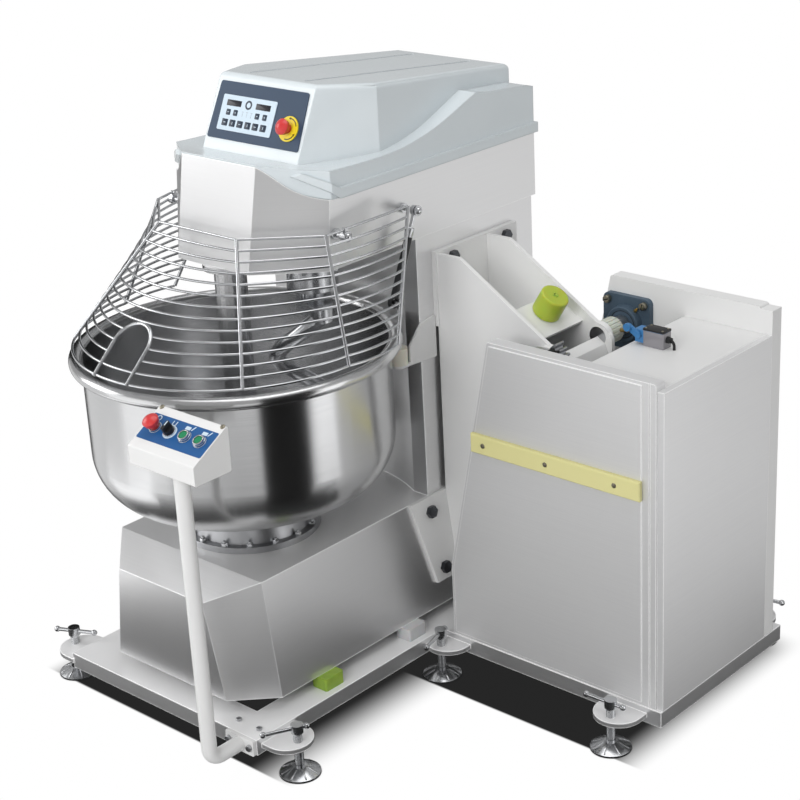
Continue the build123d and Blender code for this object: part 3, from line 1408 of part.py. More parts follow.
spiral_motor_at = [(0, SPIRAL_MOTOR_Y)]
with BuildPart() as spiral_motor:
    disc(level(hub_seat), spiral_motor_at, SPIRAL_MOTOR_FLANGE, -SPIRAL_MOTOR_FLANGE_THICK)
    disc(level(hub_seat), spiral_motor_at, SPIRAL_MOTOR_RADIUS, -SPIRAL_MOTOR_LENGTH)
    bore = SPIRAL_MOTOR_SHAFT_IN + BORE_END
    disc(level(hub_seat), spiral_motor_at, SPIRAL_MOTOR_SHAFT + RUN, -bore, Mode.SUBTRACT)
save(spiral_motor, "spiral_motor")

motor_shaft_end = hub_seat - SPIRAL_MOTOR_SHAFT_IN
with BuildPart() as spiral_motor_pulley:
    disc(level(SPIRAL_BELT_Z), spiral_motor_at, SPIRAL_MOTOR_PULLEY, BELT_WIDTH)
    disc(level(motor_shaft_end), spiral_motor_at, SPIRAL_MOTOR_SHAFT, boss_z - motor_shaft_end)
save(spiral_motor_pulley, "spiral_motor_pulley")

with BuildPart() as spiral_belt:
    belt(
        level(SPIRAL_BELT_Z),
        (SPIRAL_X, SPIRAL_Y, SPIRAL_PULLEY),
        (0, SPIRAL_MOTOR_Y, SPIRAL_MOTOR_PULLEY),
        BELT_WIDTH,
    )
save(spiral_belt, "spiral_belt")

# Breaker bar on the bowl's axis
with BuildPart() as breaker_bar:
    disc(level(BREAKER_END), [(0, 0)], BREAKER_RADIUS, hub_seat - BREAKER_END)
    fillet(breaker_bar.faces().sort_by(Axis.Z)[0].edges(), BREAKER_ROUND)
    disc(level(hub_seat), [(0, 0)], BREAKER_FLANGE, -BREAKER_FLANGE_THICK)
save(breaker_bar, "breaker_bar")

# Roller that steadies the bowl's wall, on a bracket from the column
roller_angle = radians(ROLLER_WAY)
roller_reach = BOWL_RADIUS + ROLLER_RADIUS + FREE
roller_x = roller_reach * cos(roller_angle)
roller_y = roller_reach * sin(roller_angle)
roller_z = RIM_Z - ROLLER_DROP
bracket_neck = roller_y + BRACKET_NECK
bracket_foot = COLUMN_FRONT + BRACKET_FOOT
bracket_x = COLUMN_HALF + SEAT
shelf_low = roller_z - BRACKET_LOW
with BuildPart() as rim_bracket:
    with BuildSketch(side(bracket_x)):
        outline(
            [
                (bracket_neck, shelf_low),
                (bracket_foot, roller_z - BRACKET_FOOT_LOW),
                (bracket_foot, roller_z + BRACKET_FOOT_HIGH),
                (COLUMN_FRONT, roller_z + BRACKET_FOOT_HIGH - BRACKET_THICK),
                (bracket_neck, roller_z + BRACKET_HIGH),
            ]
        )
    extrude(amount=BRACKET_THICK)
    with BuildSketch(level(shelf_low)):
        with Locations((roller_x, roller_y)):
            Circle(BRACKET_EYE)
        with Locations((bracket_x + BRACKET_THICK / 2, bracket_neck + BRACKET_EYE / 2)):
            Rectangle(BRACKET_THICK, BRACKET_EYE)
        make_hull()
    extrude(amount=BRACKET_SHELF)
    disc(level(shelf_low), [(roller_x, roller_y)], ROLLER_PIN, ROLLER_PIN_LENGTH)
save(rim_bracket, "rim_bracket")

roller_low = shelf_low + BRACKET_SHELF + 2 * FREE
with BuildPart() as rim_roller:
    disc(level(roller_low), [(roller_x, roller_y)], ROLLER_RADIUS, ROLLER_WIDTH)
    disc(level(roller_low), [(roller_x, roller_y)], ROLLER_PIN + RUN, ROLLER_WIDTH, Mode.SUBTRACT)
save(rim_roller, "rim_roller")

# Tilting arm: two plates, webs, a flange on the column and a foot on the housing
arm_u = (cos(radians(ARM_SLOPE)), -sin(radians(ARM_SLOPE)))
arm_n = (sin(radians(ARM_SLOPE)), cos(radians(ARM_SLOPE)))
flange_x = COLUMN_HALF + SEAT + ARM_FLANGE


def on_slope(along, depth):
    """Point of the arm in X and Z, along its sloping edge from the knee and below it."""
    return (
        ARM_KNEE + along * arm_u[0] - depth * arm_n[0],
        ARM_TOP + along * arm_u[1] - depth * arm_n[1],
    )


def at_flange(depth):
    """Point of the arm's flange that lies at a depth below the sloping edge."""
    return on_slope((flange_x - ARM_WELD - ARM_KNEE + depth * arm_n[0]) / arm_u[0], depth)


end_x = PIVOT_X + ARM_END
end_z = ARM_TOP - (end_x - ARM_KNEE) * tan(radians(ARM_SLOPE))
low_z = PIVOT_Z - ARM_BELOW
foot_x = COLUMN_HALF + (HOUSE_TOP - ARM_FOOT) * flank_up / flank_out + BRACKET_THICK
weld_x = flange_x - ARM_WELD
back_x = COLUMN_HALF + ARM_FOOT_THICK
plate_points = [
    (weld_x, ARM_TOP),
    (ARM_KNEE, ARM_TOP),
    (end_x, end_z),
    (end_x, low_z),
    (PIVOT_X - ARM_BEFORE, low_z),
    (ARM_WAIST_X, ARM_WAIST_Z),
    (foot_x + ARM_TOE, ARM_FOOT),
    (foot_x, ARM_FOOT),
    (back_x, HOUSE_TOP),
    (back_x, ARM_FLANGE_FOOT + ARM_WELD),
    (weld_x, ARM_FLANGE_FOOT + ARM_WELD),
]
with BuildPart() as tilt_arm:
    for y in (ARM_FRONT, ARM_REAR):
        with BuildSketch(facing(y)) as arm_plate:
            outline(plate_points)
            fillet(arm_plate.vertices().sort_by(Axis.X)[-2:], ARM_ROUND)
        extrude(amount=-ARM_PLATE)
    with BuildSketch(side(COLUMN_HALF + SEAT)):
        flange_head = ARM_TOP + ARM_FLANGE_TOP
        with Locations(((ARM_FLANGE_FRONT + ARM_FLANGE_REAR) / 2, (flange_head + ARM_FLANGE_FOOT) / 2)):
            Rectangle(ARM_FLANGE_REAR - ARM_FLANGE_FRONT, flange_head - ARM_FLANGE_FOOT)
    extrude(amount=ARM_FLANGE)
    with BuildSketch(facing(ARM_FRONT)):
        # stepped web below the sloping edges, bent nose round the shaft's end, and back web
        outline(
            [
                at_flange(WEB_DEEP),
                on_slope(WEB_STEP, WEB_DEEP),
                on_slope(WEB_STEP, WEB_SHALLOW),
                on_slope(WEB_STOP, WEB_SHALLOW),
                on_slope(WEB_STOP, WEB_SHALLOW + WEB),
                on_slope(WEB_STEP + WEB, WEB_SHALLOW + WEB),
                on_slope(WEB_STEP + WEB, WEB_DEEP + WEB),
                at_flange(WEB_DEEP + WEB),
            ]
        )
        outline(
            [
                on_slope(WEB_NOSE, WEB_NOSE_DEPTH),
                on_slope(WEB_NOSE_END, WEB_NOSE_DEPTH),
                (end_x - WEB, low_z + WEB),
                (end_x - 2 * WEB, low_z + WEB),
                on_slope(WEB_NOSE_END - WEB, WEB_NOSE_DEPTH + WEB),
                on_slope(WEB_NOSE, WEB_NOSE_DEPTH + WEB),
            ]
        )
        outline(
            [
                (back_x, HOUSE_TOP),
                (back_x + ARM_PLATE, HOUSE_TOP),
                (back_x + ARM_PLATE, ARM_FLANGE_FOOT + ARM_WELD),
                (back_x, ARM_FLANGE_FOOT + ARM_WELD),
            ]
        )
    extrude(amount=ARM_FRONT - ARM_REAR)
    disc(facing(hub_front), pivot, ARM_HUB, hub_front - arm_inner)
    disc(facing(ARM_REAR), pivot, ARM_HUB, ARM_REAR - hub_rear)
    with BuildSketch(flank.offset(SEAT)):
        outline(ARM_FOOT_PLATE)
    extrude(amount=ARM_FOOT_THICK)
    disc(facing(hub_front), pivot, SHAFT_RADIUS + RUN, hub_front - arm_inner, Mode.SUBTRACT)
    disc(facing(ARM_REAR), pivot, SHAFT_RADIUS + RUN, ARM_REAR - hub_rear, Mode.SUBTRACT)
    flange_hole = ARM_FLANGE + 2 * SEAT
    disc(side(COLUMN_HALF), flange_bolts, BOLT_RADIUS + SEAT, flange_hole, Mode.SUBTRACT)
    foot_hole = ARM_FOOT_THICK + 2 * SEAT
    disc(flank, ARM_FOOT_BOLTS, BOLT_RADIUS + SEAT, foot_hole, Mode.SUBTRACT)
save(tilt_arm, "tilt_arm")

with BuildPart() as arm_bolts:
    for plane, places, seat in (
        (side(COLUMN_HALF + SEAT), flange_bolts, ARM_FLANGE + SEAT),
        (flank.offset(SEAT), ARM_FOOT_BOLTS, ARM_FOOT_THICK + SEAT),
    ):
        with BuildSketch(plane.offset(seat)):
            with Locations(*places):
                RegularPolygon(radius=BOLT_FLATS / 2, side_count=6, major_radius=False)
        extrude(amount=BOLT_HEAD)
        disc(plane.offset(seat), places, BOLT_RADIUS, -(seat + BOLT_END))
save(arm_bolts, "arm_bolts")

buffer_x, buffer_z = on_slope(BUFFER_ALONG, WEB_SHALLOW - SEAT)
buffer_seat = Plane(
    origin=spot(buffer_x, (ARM_FRONT + ARM_REAR) / 2 + BUFFER_BACK, buffer_z),
    x_dir=(0, 1, 0),
    z_dir=(arm_n[0], 0, arm_n[1]),
)
with BuildPart() as arm_buffer:
    disc(buffer_seat, [(0, 0)], BUFFER_RADIUS, BUFFER_LENGTH)
    fillet(arm_buffer.edges().filter_by(GeomType.CIRCLE), BUFFER_ROUND)
save(arm_buffer, "arm_buffer")

# Wire guard: its outline goes from the head's shape at the top to a circle over the bowl's rim
nose_way = radians(RIB_NOSE)
cheek_way = radians(RIB_CHEEK)
ring_nose = (RING_RADIUS * cos(nose_way), RING_RADIUS * sin(nose_way))
ring_cheek = (RING_RADIUS * cos(cheek_way), RING_RADIUS * sin(cheek_way))
front_bulge = RING_RADIUS + ring_nose[1]
cheek_bulge = RING_RADIUS * (1 - cos((cheek_way - nose_way) / 2))


def blend(a, b, t):
    return a + (b - a) * t


def guard_points(way, t):
    """Rear end, cheek and nose of one side of the guard, a share t of the way down."""
    z = blend(GUARD_TOP, RING_Z, t)
    rear = (blend(GUARD_TAIL, RING_RADIUS, t), blend(GUARD_REAR, RING_REAR, t))
    cheek = (blend(GUARD_HALF, ring_cheek[0], t), blend(GUARD_CHEEK, ring_cheek[1], t))
    nose = (blend(GUARD_NOSE, ring_nose[0], t), blend(GUARD_FRONT, ring_nose[1], t))
    return [
        Vector(*spot(way * rear[0], rear[1], z + GUARD_TAIL_RISE * (1 - t))),
        Vector(*spot(way * cheek[0], cheek[1], z)),
        Vector(*spot(way * nose[0], nose[1], z)),
    ]


def wire(start, end, bulge):
    """Bent wire between two points, bulging outwards, added to the part being built."""
    run = (end - start).normalized()
    start = start + run * WELD_GAP
    end = end - run * WELD_GAP
    middle = (start + end) * 0.5 + Vector(run.Y, -run.X, 0) * bulge
    with BuildLine() as line:
        if bulge:
            ThreePointArc(start, middle, end)
        else:
            Line(start, end)
    path = line.wires()[0]
    with BuildSketch(Plane(origin=path @ 0, z_dir=path % 0)) as section:
        Circle(WIRE_RADIUS)
    sweep(section.sketch, path=path)


front_run = hypot(RING_RADIUS + GUARD_FRONT, GUARD_TOP - RING_Z)
front_up = ((RING_RADIUS + GUARD_FRONT) / front_run, (GUARD_TOP - RING_Z) / front_run)
front_facet = Plane(
    origin=spot(0, -RING_RADIUS, RING_Z),
    x_dir=(1, 0, 0),
    z_dir=(0, -front_up[1], front_up[0]),
)
arch_spring = ARCH_HEIGHT - ARCH_HALF
arch_sill = ARCH_WIRES * front_run / (WIRE_COUNT - 1)
with BuildPart() as guard_wires:
    for number in range(WIRE_COUNT):
        t = number / (WIRE_COUNT - 1)
        right = guard_points(1, t)
        left = guard_points(-1, t)
        side_bulge = GUARD_BULGE if number else 0
        wire(left[0], left[1], side_bulge)
        wire(left[1], left[2], cheek_bulge * t)
        wire(left[2], right[2], front_bulge * t)
        wire(right[2], right[1], cheek_bulge * t)
        wire(right[1], right[0], side_bulge)
    # the feeding arch stops the wires above its sill, and its legs part those below
    with BuildSketch(front_facet):
        with Locations((0, arch_spring)):
            Circle(ARCH_HALF)
        with Locations((0, (arch_spring + arch_sill) / 2)):
            Rectangle(2 * ARCH_HALF, arch_spring - arch_sill)
        with Locations((-ARCH_HALF, 0), (ARCH_HALF, 0)):
            Rectangle(2 * WELD_GAP, 2 * arch_sill)
    extrude(amount=OVER, both=True, mode=Mode.SUBTRACT)
save(guard_wires, "guard_wires")

pivot_share = (GUARD_PIVOT_Y - GUARD_CHEEK) / (GUARD_REAR - GUARD_CHEEK)
bush_x = blend(GUARD_HALF, GUARD_TAIL, pivot_share)
bush_top = GUARD_TOP + GUARD_TAIL_RISE * pivot_share
bush_at = (GUARD_PIVOT_Y, GUARD_PIVOT_Z)
strut_foot = (STRUT_FOOT_Y, STRUT_FOOT_Z)
strut_top = (STRUT_TOP_Y, STRUT_TOP_Z)
bracket_bend = Vector(*spot(STRUT_X + STRUT_BRACKET, *strut_foot))
with BuildPart() as guard_ribs:
    for way in (-1, 1):
        for top, foot_point in zip(guard_points(way, 0), guard_points(way, 1)):
            rod(top, foot_point, RIB_RADIUS)
        # bush that hangs from the top wire, on the head's pin
        with BuildSketch(side(way * bush_x)):
            with Locations(bush_at):
                Circle(GUARD_PIN + RUN + GUARD_BUSH)
            with Locations((GUARD_PIVOT_Y, bush_top)):
                Circle(WIRE_RADIUS)
            make_hull()
        extrude(amount=GUARD_BUSH_HALF, both=True)
        disc(side(way * bush_x), [bush_at], GUARD_PIN + RUN, GUARD_BUSH_HALF, Mode.SUBTRACT, both=True)
    # pin for the gas strut, on a bracket from the rear rib
    disc(side(STRUT_X - STRUT_PIN_END), [strut_foot], STRUT_PIN, STRUT_PIN_END + STRUT_BRACKET)
    with Locations(Location(bracket_bend)):
        Sphere(STRUT_PIN)
    rear_top = guard_points(1, 0)[0]
    rear_foot = guard_points(1, 1)[0]
    rod(bracket_bend, rear_top + (rear_foot - rear_top) * STRUT_FOOT_SHARE, STRUT_PIN)
    # rod round the feeding arch
    with BuildLine(front_facet) as arch:
        Line((-ARCH_HALF, -ARCH_FOOT), (-ARCH_HALF, arch_spring))
        ThreePointArc((-ARCH_HALF, arch_spring), (0, ARCH_HEIGHT), (ARCH_HALF, arch_spring))
        Line((ARCH_HALF, arch_spring), (ARCH_HALF, -ARCH_FOOT))
    arch_path = arch.wires()[0]
    with BuildSketch(Plane(origin=arch_path @ 0, z_dir=arch_path % 0)):
        Circle(RIB_RADIUS)
    sweep(path=arch_path)
save(guard_ribs, "guard_ribs")

# Pins on the head for the guard and for the strut
head_side = HEAD_HALF + SEAT
with BuildPart() as guard_pins:
    for way in (-1, 1):
        pin_length = bush_x + GUARD_BUSH_HALF - head_side
        disc(side(way * head_side), [bush_at], GUARD_PIN, way * pin_length)
        disc(side(way * head_side), [bush_at], GUARD_PIN + PIN_FLANGE, way * PIN_FLANGE_THICK)
    disc(side(head_side), [strut_top], STRUT_PIN, STRUT_X + STRUT_PIN_END - head_side)
    disc(side(head_side), [strut_top], STRUT_PIN + PIN_FLANGE, PIN_FLANGE_THICK)
save(guard_pins, "guard_pins")

# Gas strut: rod with an eye on the head's pin, cylinder with a loose eye on the guard's pin
reach_y = STRUT_FOOT_Y - STRUT_TOP_Y
reach_z = STRUT_FOOT_Z - STRUT_TOP_Z
strut_length = hypot(reach_y, reach_z)
strut_axis = (0, reach_y / strut_length, reach_z / strut_length)


def along_strut(distance):
    """Plane square to the strut, at a distance from its upper pin."""
    return Plane(
        origin=Vector(*spot(STRUT_X, *strut_top)) + Vector(*strut_axis) * distance,
        x_dir=(1, 0, 0),
        z_dir=strut_axis,
    )


eye_out = STRUT_PIN + STRUT_PLAY + STRUT_EYE
body_end = strut_length - eye_out + STRUT_BODY_WELD
rod_end = body_end - STRUT_ROD_END
middle = [(0, 0)]
eye = side(STRUT_X)
with BuildPart() as strut_rod:
    disc(along_strut(STRUT_ROD_START), middle, STRUT_ROD, rod_end - STRUT_ROD_START)
    disc(eye, [strut_top], STRUT_PIN + PIN_FLANGE, STRUT_EYE_HALF, both=True)
    disc(eye, [strut_top], STRUT_PIN + RUN, STRUT_EYE_HALF, Mode.SUBTRACT, both=True)
save(strut_rod, "strut_rod")

bore = rod_end + STRUT_BODY_WELD - STRUT_BODY_START
with BuildPart() as strut_cylinder:
    disc(along_strut(STRUT_BODY_START), middle, STRUT_BODY, body_end - STRUT_BODY_START)
    disc(eye, [strut_foot], eye_out, STRUT_EYE_HALF, both=True)
    disc(along_strut(STRUT_BODY_START), middle, STRUT_ROD + RUN, bore, Mode.SUBTRACT)
    disc(eye, [strut_foot], STRUT_PIN + STRUT_PLAY, STRUT_EYE_HALF, Mode.SUBTRACT, both=True)
save(strut_cylinder, "strut_cylinder")

# Control console: bent pole, box with a sloping face, and its buttons
pole_front = FRAME_FRONT - SEAT
pole_at = (POLE_X, POLE_Y)
with BuildPart() as control_pole:
    with BuildLine() as pole_path:
        FilletPolyline(
            spot(POLE_X, pole_front - POLE_FLANGE_THICK / 2, POLE_FOOT),
            spot(POLE_X, POLE_Y, POLE_FOOT),
            spot(POLE_X, POLE_Y, CONSOLE_BOTTOM - SEAT),
            radius=POLE_BEND,
        )
    with BuildSketch(Plane(origin=pole_path.line @ 0, z_dir=pole_path.line % 0)):
        Circle(POLE_RADIUS)
    sweep(path=pole_path.line)
    with BuildSketch(facing(pole_front)):
        with Locations((POLE_X, POLE_FOOT)):
            RectangleRounded(POLE_FLANGE, BAR_HEIGHT, POLE_FLANGE_ROUND)
    extrude(amount=POLE_FLANGE_THICK)
    with BuildSketch(level(CONSOLE_BOTTOM - SEAT)):
        with Locations(pole_at):
            RectangleRounded(POLE_PLATE_WIDTH, POLE_PLATE_DEPTH, POLE_PLATE_ROUND)
    extrude(amount=-POLE_PLATE_THICK)
save(control_pole, "control_pole")

box_front = POLE_Y - CONSOLE_DEPTH / 2
box_rear = POLE_Y + CONSOLE_DEPTH / 2
face_run = hypot(CONSOLE_DEPTH, CONSOLE_HIGH - CONSOLE_LOW)
face_up = (CONSOLE_DEPTH / face_run, (CONSOLE_HIGH - CONSOLE_LOW) / face_run)
face = Plane(
    origin=spot(POLE_X, POLE_Y, CONSOLE_BOTTOM + (CONSOLE_LOW + CONSOLE_HIGH) / 2),
    x_dir=(1, 0, 0),
    z_dir=(0, -face_up[1], face_up[0]),
)
buttons_at = [((i - 1.5) * BUTTON_PITCH, BUTTON_ROW) for i in range(4)]
box_half = CONSOLE_WIDTH / 2
inner_drop = CONSOLE_WALL * face_run / CONSOLE_DEPTH
inner_rise = CONSOLE_WALL * (CONSOLE_HIGH - CONSOLE_LOW) / CONSOLE_DEPTH
with BuildPart() as console_box:
    with BuildSketch(side(POLE_X - box_half)):
        outline(
            [
                (box_front, CONSOLE_BOTTOM),
                (box_rear, CONSOLE_BOTTOM),
                (box_rear, CONSOLE_BOTTOM + CONSOLE_HIGH),
                (box_front, CONSOLE_BOTTOM + CONSOLE_LOW),
            ]
        )
    extrude(amount=CONSOLE_WIDTH)
    fillet(console_box.edges().filter_by(Axis.X), CONSOLE_ROUND)
    with BuildSketch(side(POLE_X - box_half + CONSOLE_WALL)):
        inner_front_y = box_front + CONSOLE_WALL
        inner_rear_y = box_rear - CONSOLE_WALL
        outline(
            [
                (inner_front_y, CONSOLE_BOTTOM + CONSOLE_WALL),
                (inner_rear_y, CONSOLE_BOTTOM + CONSOLE_WALL),
                (inner_rear_y, CONSOLE_BOTTOM + CONSOLE_HIGH - inner_drop - inner_rise),
                (inner_front_y, CONSOLE_BOTTOM + CONSOLE_LOW - inner_drop + inner_rise),
            ]
        )
    extrude(amount=CONSOLE_WIDTH - 2 * CONSOLE_WALL, mode=Mode.SUBTRACT)
    disc(face, buttons_at, STEM_RADIUS + FREE, BUTTON_IN, Mode.SUBTRACT, both=True)
    disc(level(CONSOLE_BOTTOM), [pole_at], CABLE_HOLE, CONSOLE_WALL, Mode.SUBTRACT)
save(console_box, "console_box")

with BuildPart() as console_bezels:
    disc(face.offset(SEAT), buttons_at, BEZEL_RADIUS, BEZEL_THICK)
    disc(face.offset(SEAT), buttons_at, STEM_RADIUS + FREE, BEZEL_THICK, Mode.SUBTRACT)
save(console_bezels, "console_bezels")

with BuildPart() as console_estop:
    stop_button(face, buttons_at[0], CONSOLE_ESTOP_LIFT)
save(console_estop, "console_estop")

skirt_low = BEZEL_THICK + SELECTOR_GAP
skirt_high = skirt_low + SELECTOR_SKIRT
with BuildPart() as console_selector:
    disc(face.offset(-BUTTON_IN), [buttons_at[1]], STEM_RADIUS + FREE - RUN, BUTTON_IN + skirt_low)
    disc(face.offset(skirt_low), [buttons_at[1]], SELECTOR_RADIUS, SELECTOR_SKIRT)
    with BuildSketch(face.offset(skirt_high)):
        with Locations(buttons_at[1]):
            RectangleRounded(SELECTOR_GRIP_WIDTH, SELECTOR_GRIP_LENGTH, SELECTOR_GRIP_ROUND)
    extrude(amount=SELECTOR_GRIP)
save(console_selector, "console_selector")

for number in (1, 2):
    with BuildPart() as console_button:
        disc(face.offset(-BUTTON_IN), [buttons_at[number + 1]], STEM_RADIUS, BUTTON_IN + BUTTON_OUT)
        chamfer(console_button.edges().group_by(Axis.Z)[-1], BUTTON_CHAMFER)
    save(console_button, f"console_button_{number}")
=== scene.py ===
# %% [markdown]
# # A tilting dough mixer, dressed in Blender
# The measured model of the mixer comes first and is never moved. It gives every solid its place
# and says which solids move together. This lesson adds what a finished machine shows on top of
# that: paint, brushed steel, keys, nuts and marks. Loading the model rather than modelling it
# again keeps both in one frame, so a new piece goes where the solid it belongs to already is.

# %% Load the measured model
import json
from math import cos, pi, radians, sin

import bmesh
import bpy
from mathutils import Euler, Matrix, Vector


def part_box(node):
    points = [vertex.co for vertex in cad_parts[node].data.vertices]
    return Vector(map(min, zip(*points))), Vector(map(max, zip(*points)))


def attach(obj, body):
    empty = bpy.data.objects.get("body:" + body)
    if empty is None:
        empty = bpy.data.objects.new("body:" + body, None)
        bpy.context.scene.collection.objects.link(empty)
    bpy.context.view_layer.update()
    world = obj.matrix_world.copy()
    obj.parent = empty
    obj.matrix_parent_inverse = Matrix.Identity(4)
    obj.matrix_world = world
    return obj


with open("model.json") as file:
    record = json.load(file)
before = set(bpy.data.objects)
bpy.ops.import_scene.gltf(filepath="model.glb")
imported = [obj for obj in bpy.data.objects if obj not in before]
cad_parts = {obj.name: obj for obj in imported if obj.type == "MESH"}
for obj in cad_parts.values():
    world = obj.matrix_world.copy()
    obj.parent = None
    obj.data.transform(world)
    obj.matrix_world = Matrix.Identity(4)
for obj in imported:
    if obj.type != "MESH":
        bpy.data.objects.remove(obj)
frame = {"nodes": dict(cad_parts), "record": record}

scene = bpy.context.scene
scene.view_settings.view_transform = "Standard"
solids = frame["nodes"]
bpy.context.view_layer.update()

# %% [markdown]
# ## The camera
# A product photograph is taken from a little above, with a long lens so that upright edges stay
# nearly upright. The camera could be aimed at the machine with a constraint. Here its yaw, pitch
# and roll are written down instead, because those are what was measured from the edges of the
# machine, and a small roll can't be given by a constraint.

# %% Camera
EYE = Vector((2.9476, -3.1158, 2.5))
YAW, PITCH, ROLL = 43.065, 21.94, -3.06
LENS_MM, SENSOR_MM = 83.44, 36

lens = bpy.data.cameras.new("photo_camera")
lens.lens = LENS_MM
lens.sensor_width = SENSOR_MM
camera = bpy.data.objects.new("photo_camera", lens)
aim = Euler((radians(90 - PITCH), 0, radians(YAW))).to_matrix()
aim = aim @ Matrix.Rotation(radians(ROLL), 3, "Z")
camera.matrix_world = Matrix.Translation(EYE) @ aim.to_4x4()
scene.collection.objects.link(camera)
scene.camera = camera
print("camera at", [round(c, 3) for c in EYE])

# %% [markdown]
# ## Shader sums
# A finish is a small sum: a bit of noise, scaled and added to a base value. Written as node
# boxes such a sum takes a dozen lines, so one class wraps a socket, and an operator on it adds
# the Math node. Every other node comes from one method, which sets the node's settings first
# and then its values and links.


# %% Sockets that can be added up
class Wire:
    """An output socket that can stand in a Python sum."""

    def __init__(self, socket):
        self.socket = socket

    def node(self, kind, settings=None, sockets=None, out=0):
        """Adds a node beside this socket and gives back one of its outputs."""
        tree = self.socket.id_data
        made = tree.nodes.new(kind)
        for key, value in (settings or {}).items():
            setattr(made, key, value)
        for key, value in (sockets or {}).items():
            if isinstance(value, Wire):
                tree.links.new(value.socket, made.inputs[key])
            else:
                made.inputs[key].default_value = value
        return Wire(made.outputs[out])

    def sum(self, operation, first, second):
        return self.node("ShaderNodeMath", {"operation": operation}, {0: first, 1: second})

    def __add__(self, other):
        return self.sum("ADD", self, other)

    def __radd__(self, other):
        return self.sum("ADD", other, self)

    def __sub__(self, other):
        return self.sum("SUBTRACT", self, other)

    def __rsub__(self, other):
        return self.sum("SUBTRACT", other, self)

    def __mul__(self, other):
        return self.sum("MULTIPLY", self, other)

    def __rmul__(self, other):
        return self.sum("MULTIPLY", other, self)

    def __pow__(self, other):
        return self.sum("POWER", self, other)


# %% [markdown]
# ## Colours, noise and ramps
# Paint charts give a colour as three values from 0 to 255, while a renderer adds up light, so a
# small function turns one into the other. Noise stands for all that is uneven, such as grain and
# marks of cleaning, and a smooth ramp makes a mask of any value. Pictures could carry all this,
# but they need unwrapped meshes, and noise works on the solids as they come.


# %% Colours, noise and ramps
def rgb(red, green, blue):
    """Linear colour from the 0 to 255 values of a paint chart."""
    chart = [c / 255 for c in (red, green, blue)]
    linear = [c / 12.92 if c <= 0.04045 else ((c + 0.055) / 1.055) ** 2.4 for c in chart]
    return (*linear, 1.0)


def noise(place, scale, detail=2.0, stretch=(1, 1, 1)):
    """Soft noise from 0 to 1; stretch makes it fast along one axis, as brush marks are."""
    moved = place.node("ShaderNodeMapping", {}, {"Vector": place, "Scale": stretch})
    return moved.node("ShaderNodeTexNoise", {}, {"Vector": moved, "Scale": scale, "Detail": detail})


def ramp(value, low, high):
    """Smooth step: 0 below low, 1 above high."""
    settings = {"interpolation_type": "SMOOTHSTEP"}
    return value.node("ShaderNodeMapRange", settings, {0: value, 1: low, 2: high})


def tint(share, first, second):
    """Colour that goes from the first to the second as share goes from 0 to 1."""
    settings = {"data_type": "RGBA"}  # its colour sockets are 6 and 7, and 2 on the way out
    return share.node("ShaderNodeMix", settings, {0: share, 6: first, 7: second}, out=2)


def parts(vector):
    """The three numbers of a vector."""
    split = vector.node("ShaderNodeSeparateXYZ", {}, {0: vector})
    return [Wire(output) for output in split.socket.node.outputs]


WHITE, BLACK = rgb(255, 255, 255), rgb(0, 0, 0)
print("middle grey of the chart is", round(rgb(128, 128, 128)[0], 3), "in light")

# %% [markdown]
# ## A material and its edges
# Every finish starts from the same shader and reads a point's place in metres, so grain has its
# real size on every piece. Real edges are never quite sharp, and hands and cloths wear them.
# The meshes could be bevelled, but the measured solids stay as they are, so the Bevel node rounds
# only their shading. Where its normal leaves the plain one, there is an edge, and the finishes
# make it lighter there: partly wear from rubbing, partly a painted highlight.

# %% Materials and edges
BEVEL_SAMPLES = 6
EDGE_STARTS, EDGE_FULL = 0.004, 0.12  # how far the rounded normal has left the plain one


def start(name, **fixed):
    """New material: its Principled node with fixed values, and Object coordinates in metres."""
    material = bpy.data.materials.new(name)
    material.use_nodes = True
    shader = material.node_tree.nodes["Principled BSDF"]
    for key, value in fixed.items():
        shader.inputs[key.replace("_", " ")].default_value = value
    coords = material.node_tree.nodes.new("ShaderNodeTexCoord")
    return material, shader, Wire(coords.outputs["Object"])


def feed(shader, **links):
    """Links what varies over the surface to the shader's sockets."""
    for key, value in links.items():
        shader.id_data.links.new(value.socket, shader.inputs[key.replace("_", " ")])


def bump(height, distance, strength, normal):
    """Relief on top of a normal that is already rounded at the edges."""
    values = {"Height": height, "Distance": distance, "Strength": strength, "Normal": normal}
    return height.node("ShaderNodeBump", {}, values)


def edges(place, radius):
    """Normal rounded at the edges, and a mask that is 1 on the edges."""
    rounded = place.node("ShaderNodeBevel", {"samples": BEVEL_SAMPLES}, {"Radius": radius})
    plain = place.node("ShaderNodeNewGeometry", out="Normal")
    settings = {"operation": "DOT_PRODUCT"}
    likeness = rounded.node("ShaderNodeVectorMath", settings, {0: rounded, 1: plain}, out="Value")
    return rounded, ramp(1 - likeness, EDGE_STARTS, EDGE_FULL)


# %% [markdown]
# ## Painted steel
# The arm, the pole and the console are folded sheet with a baked powder coat. Powder melts into
# a skin with a faint orange peel, a millimetre or two from crest to crest. Displacing the mesh
# would need millions of faces for that, so a bump carries it. A slow noise shifts the shade a
# little the way cleaning does. Edges are smoother and lighter than the flats, partly as wear from
# rubbing and partly as a painted highlight.

# %% Paint
finishes = {}


def painted(name, colour, shade, gloss, peel=0.00012, edge=0.0015):
    """Powder coat or enamel on steel; peel and edge are in metres."""
    material, shader, place = start(name, IOR=1.5)
    rounded, edge_wear_and_highlight = edges(place, edge)
    cloud = noise(place, scale=3.0, detail=3.0)
    specks = noise(place, scale=420.0, detail=1.0)
    feed(
        shader,
        # Edges take the lighter tone: partly wear, partly a painted highlight.
        Base_Color=tint(cloud * (1 - edge_wear_and_highlight), colour, shade),
        Roughness=gloss + 0.10 * cloud - 0.08 * edge_wear_and_highlight,
        Normal=bump(specks, distance=peel, strength=0.5, normal=rounded),
    )
    finishes[name] = material


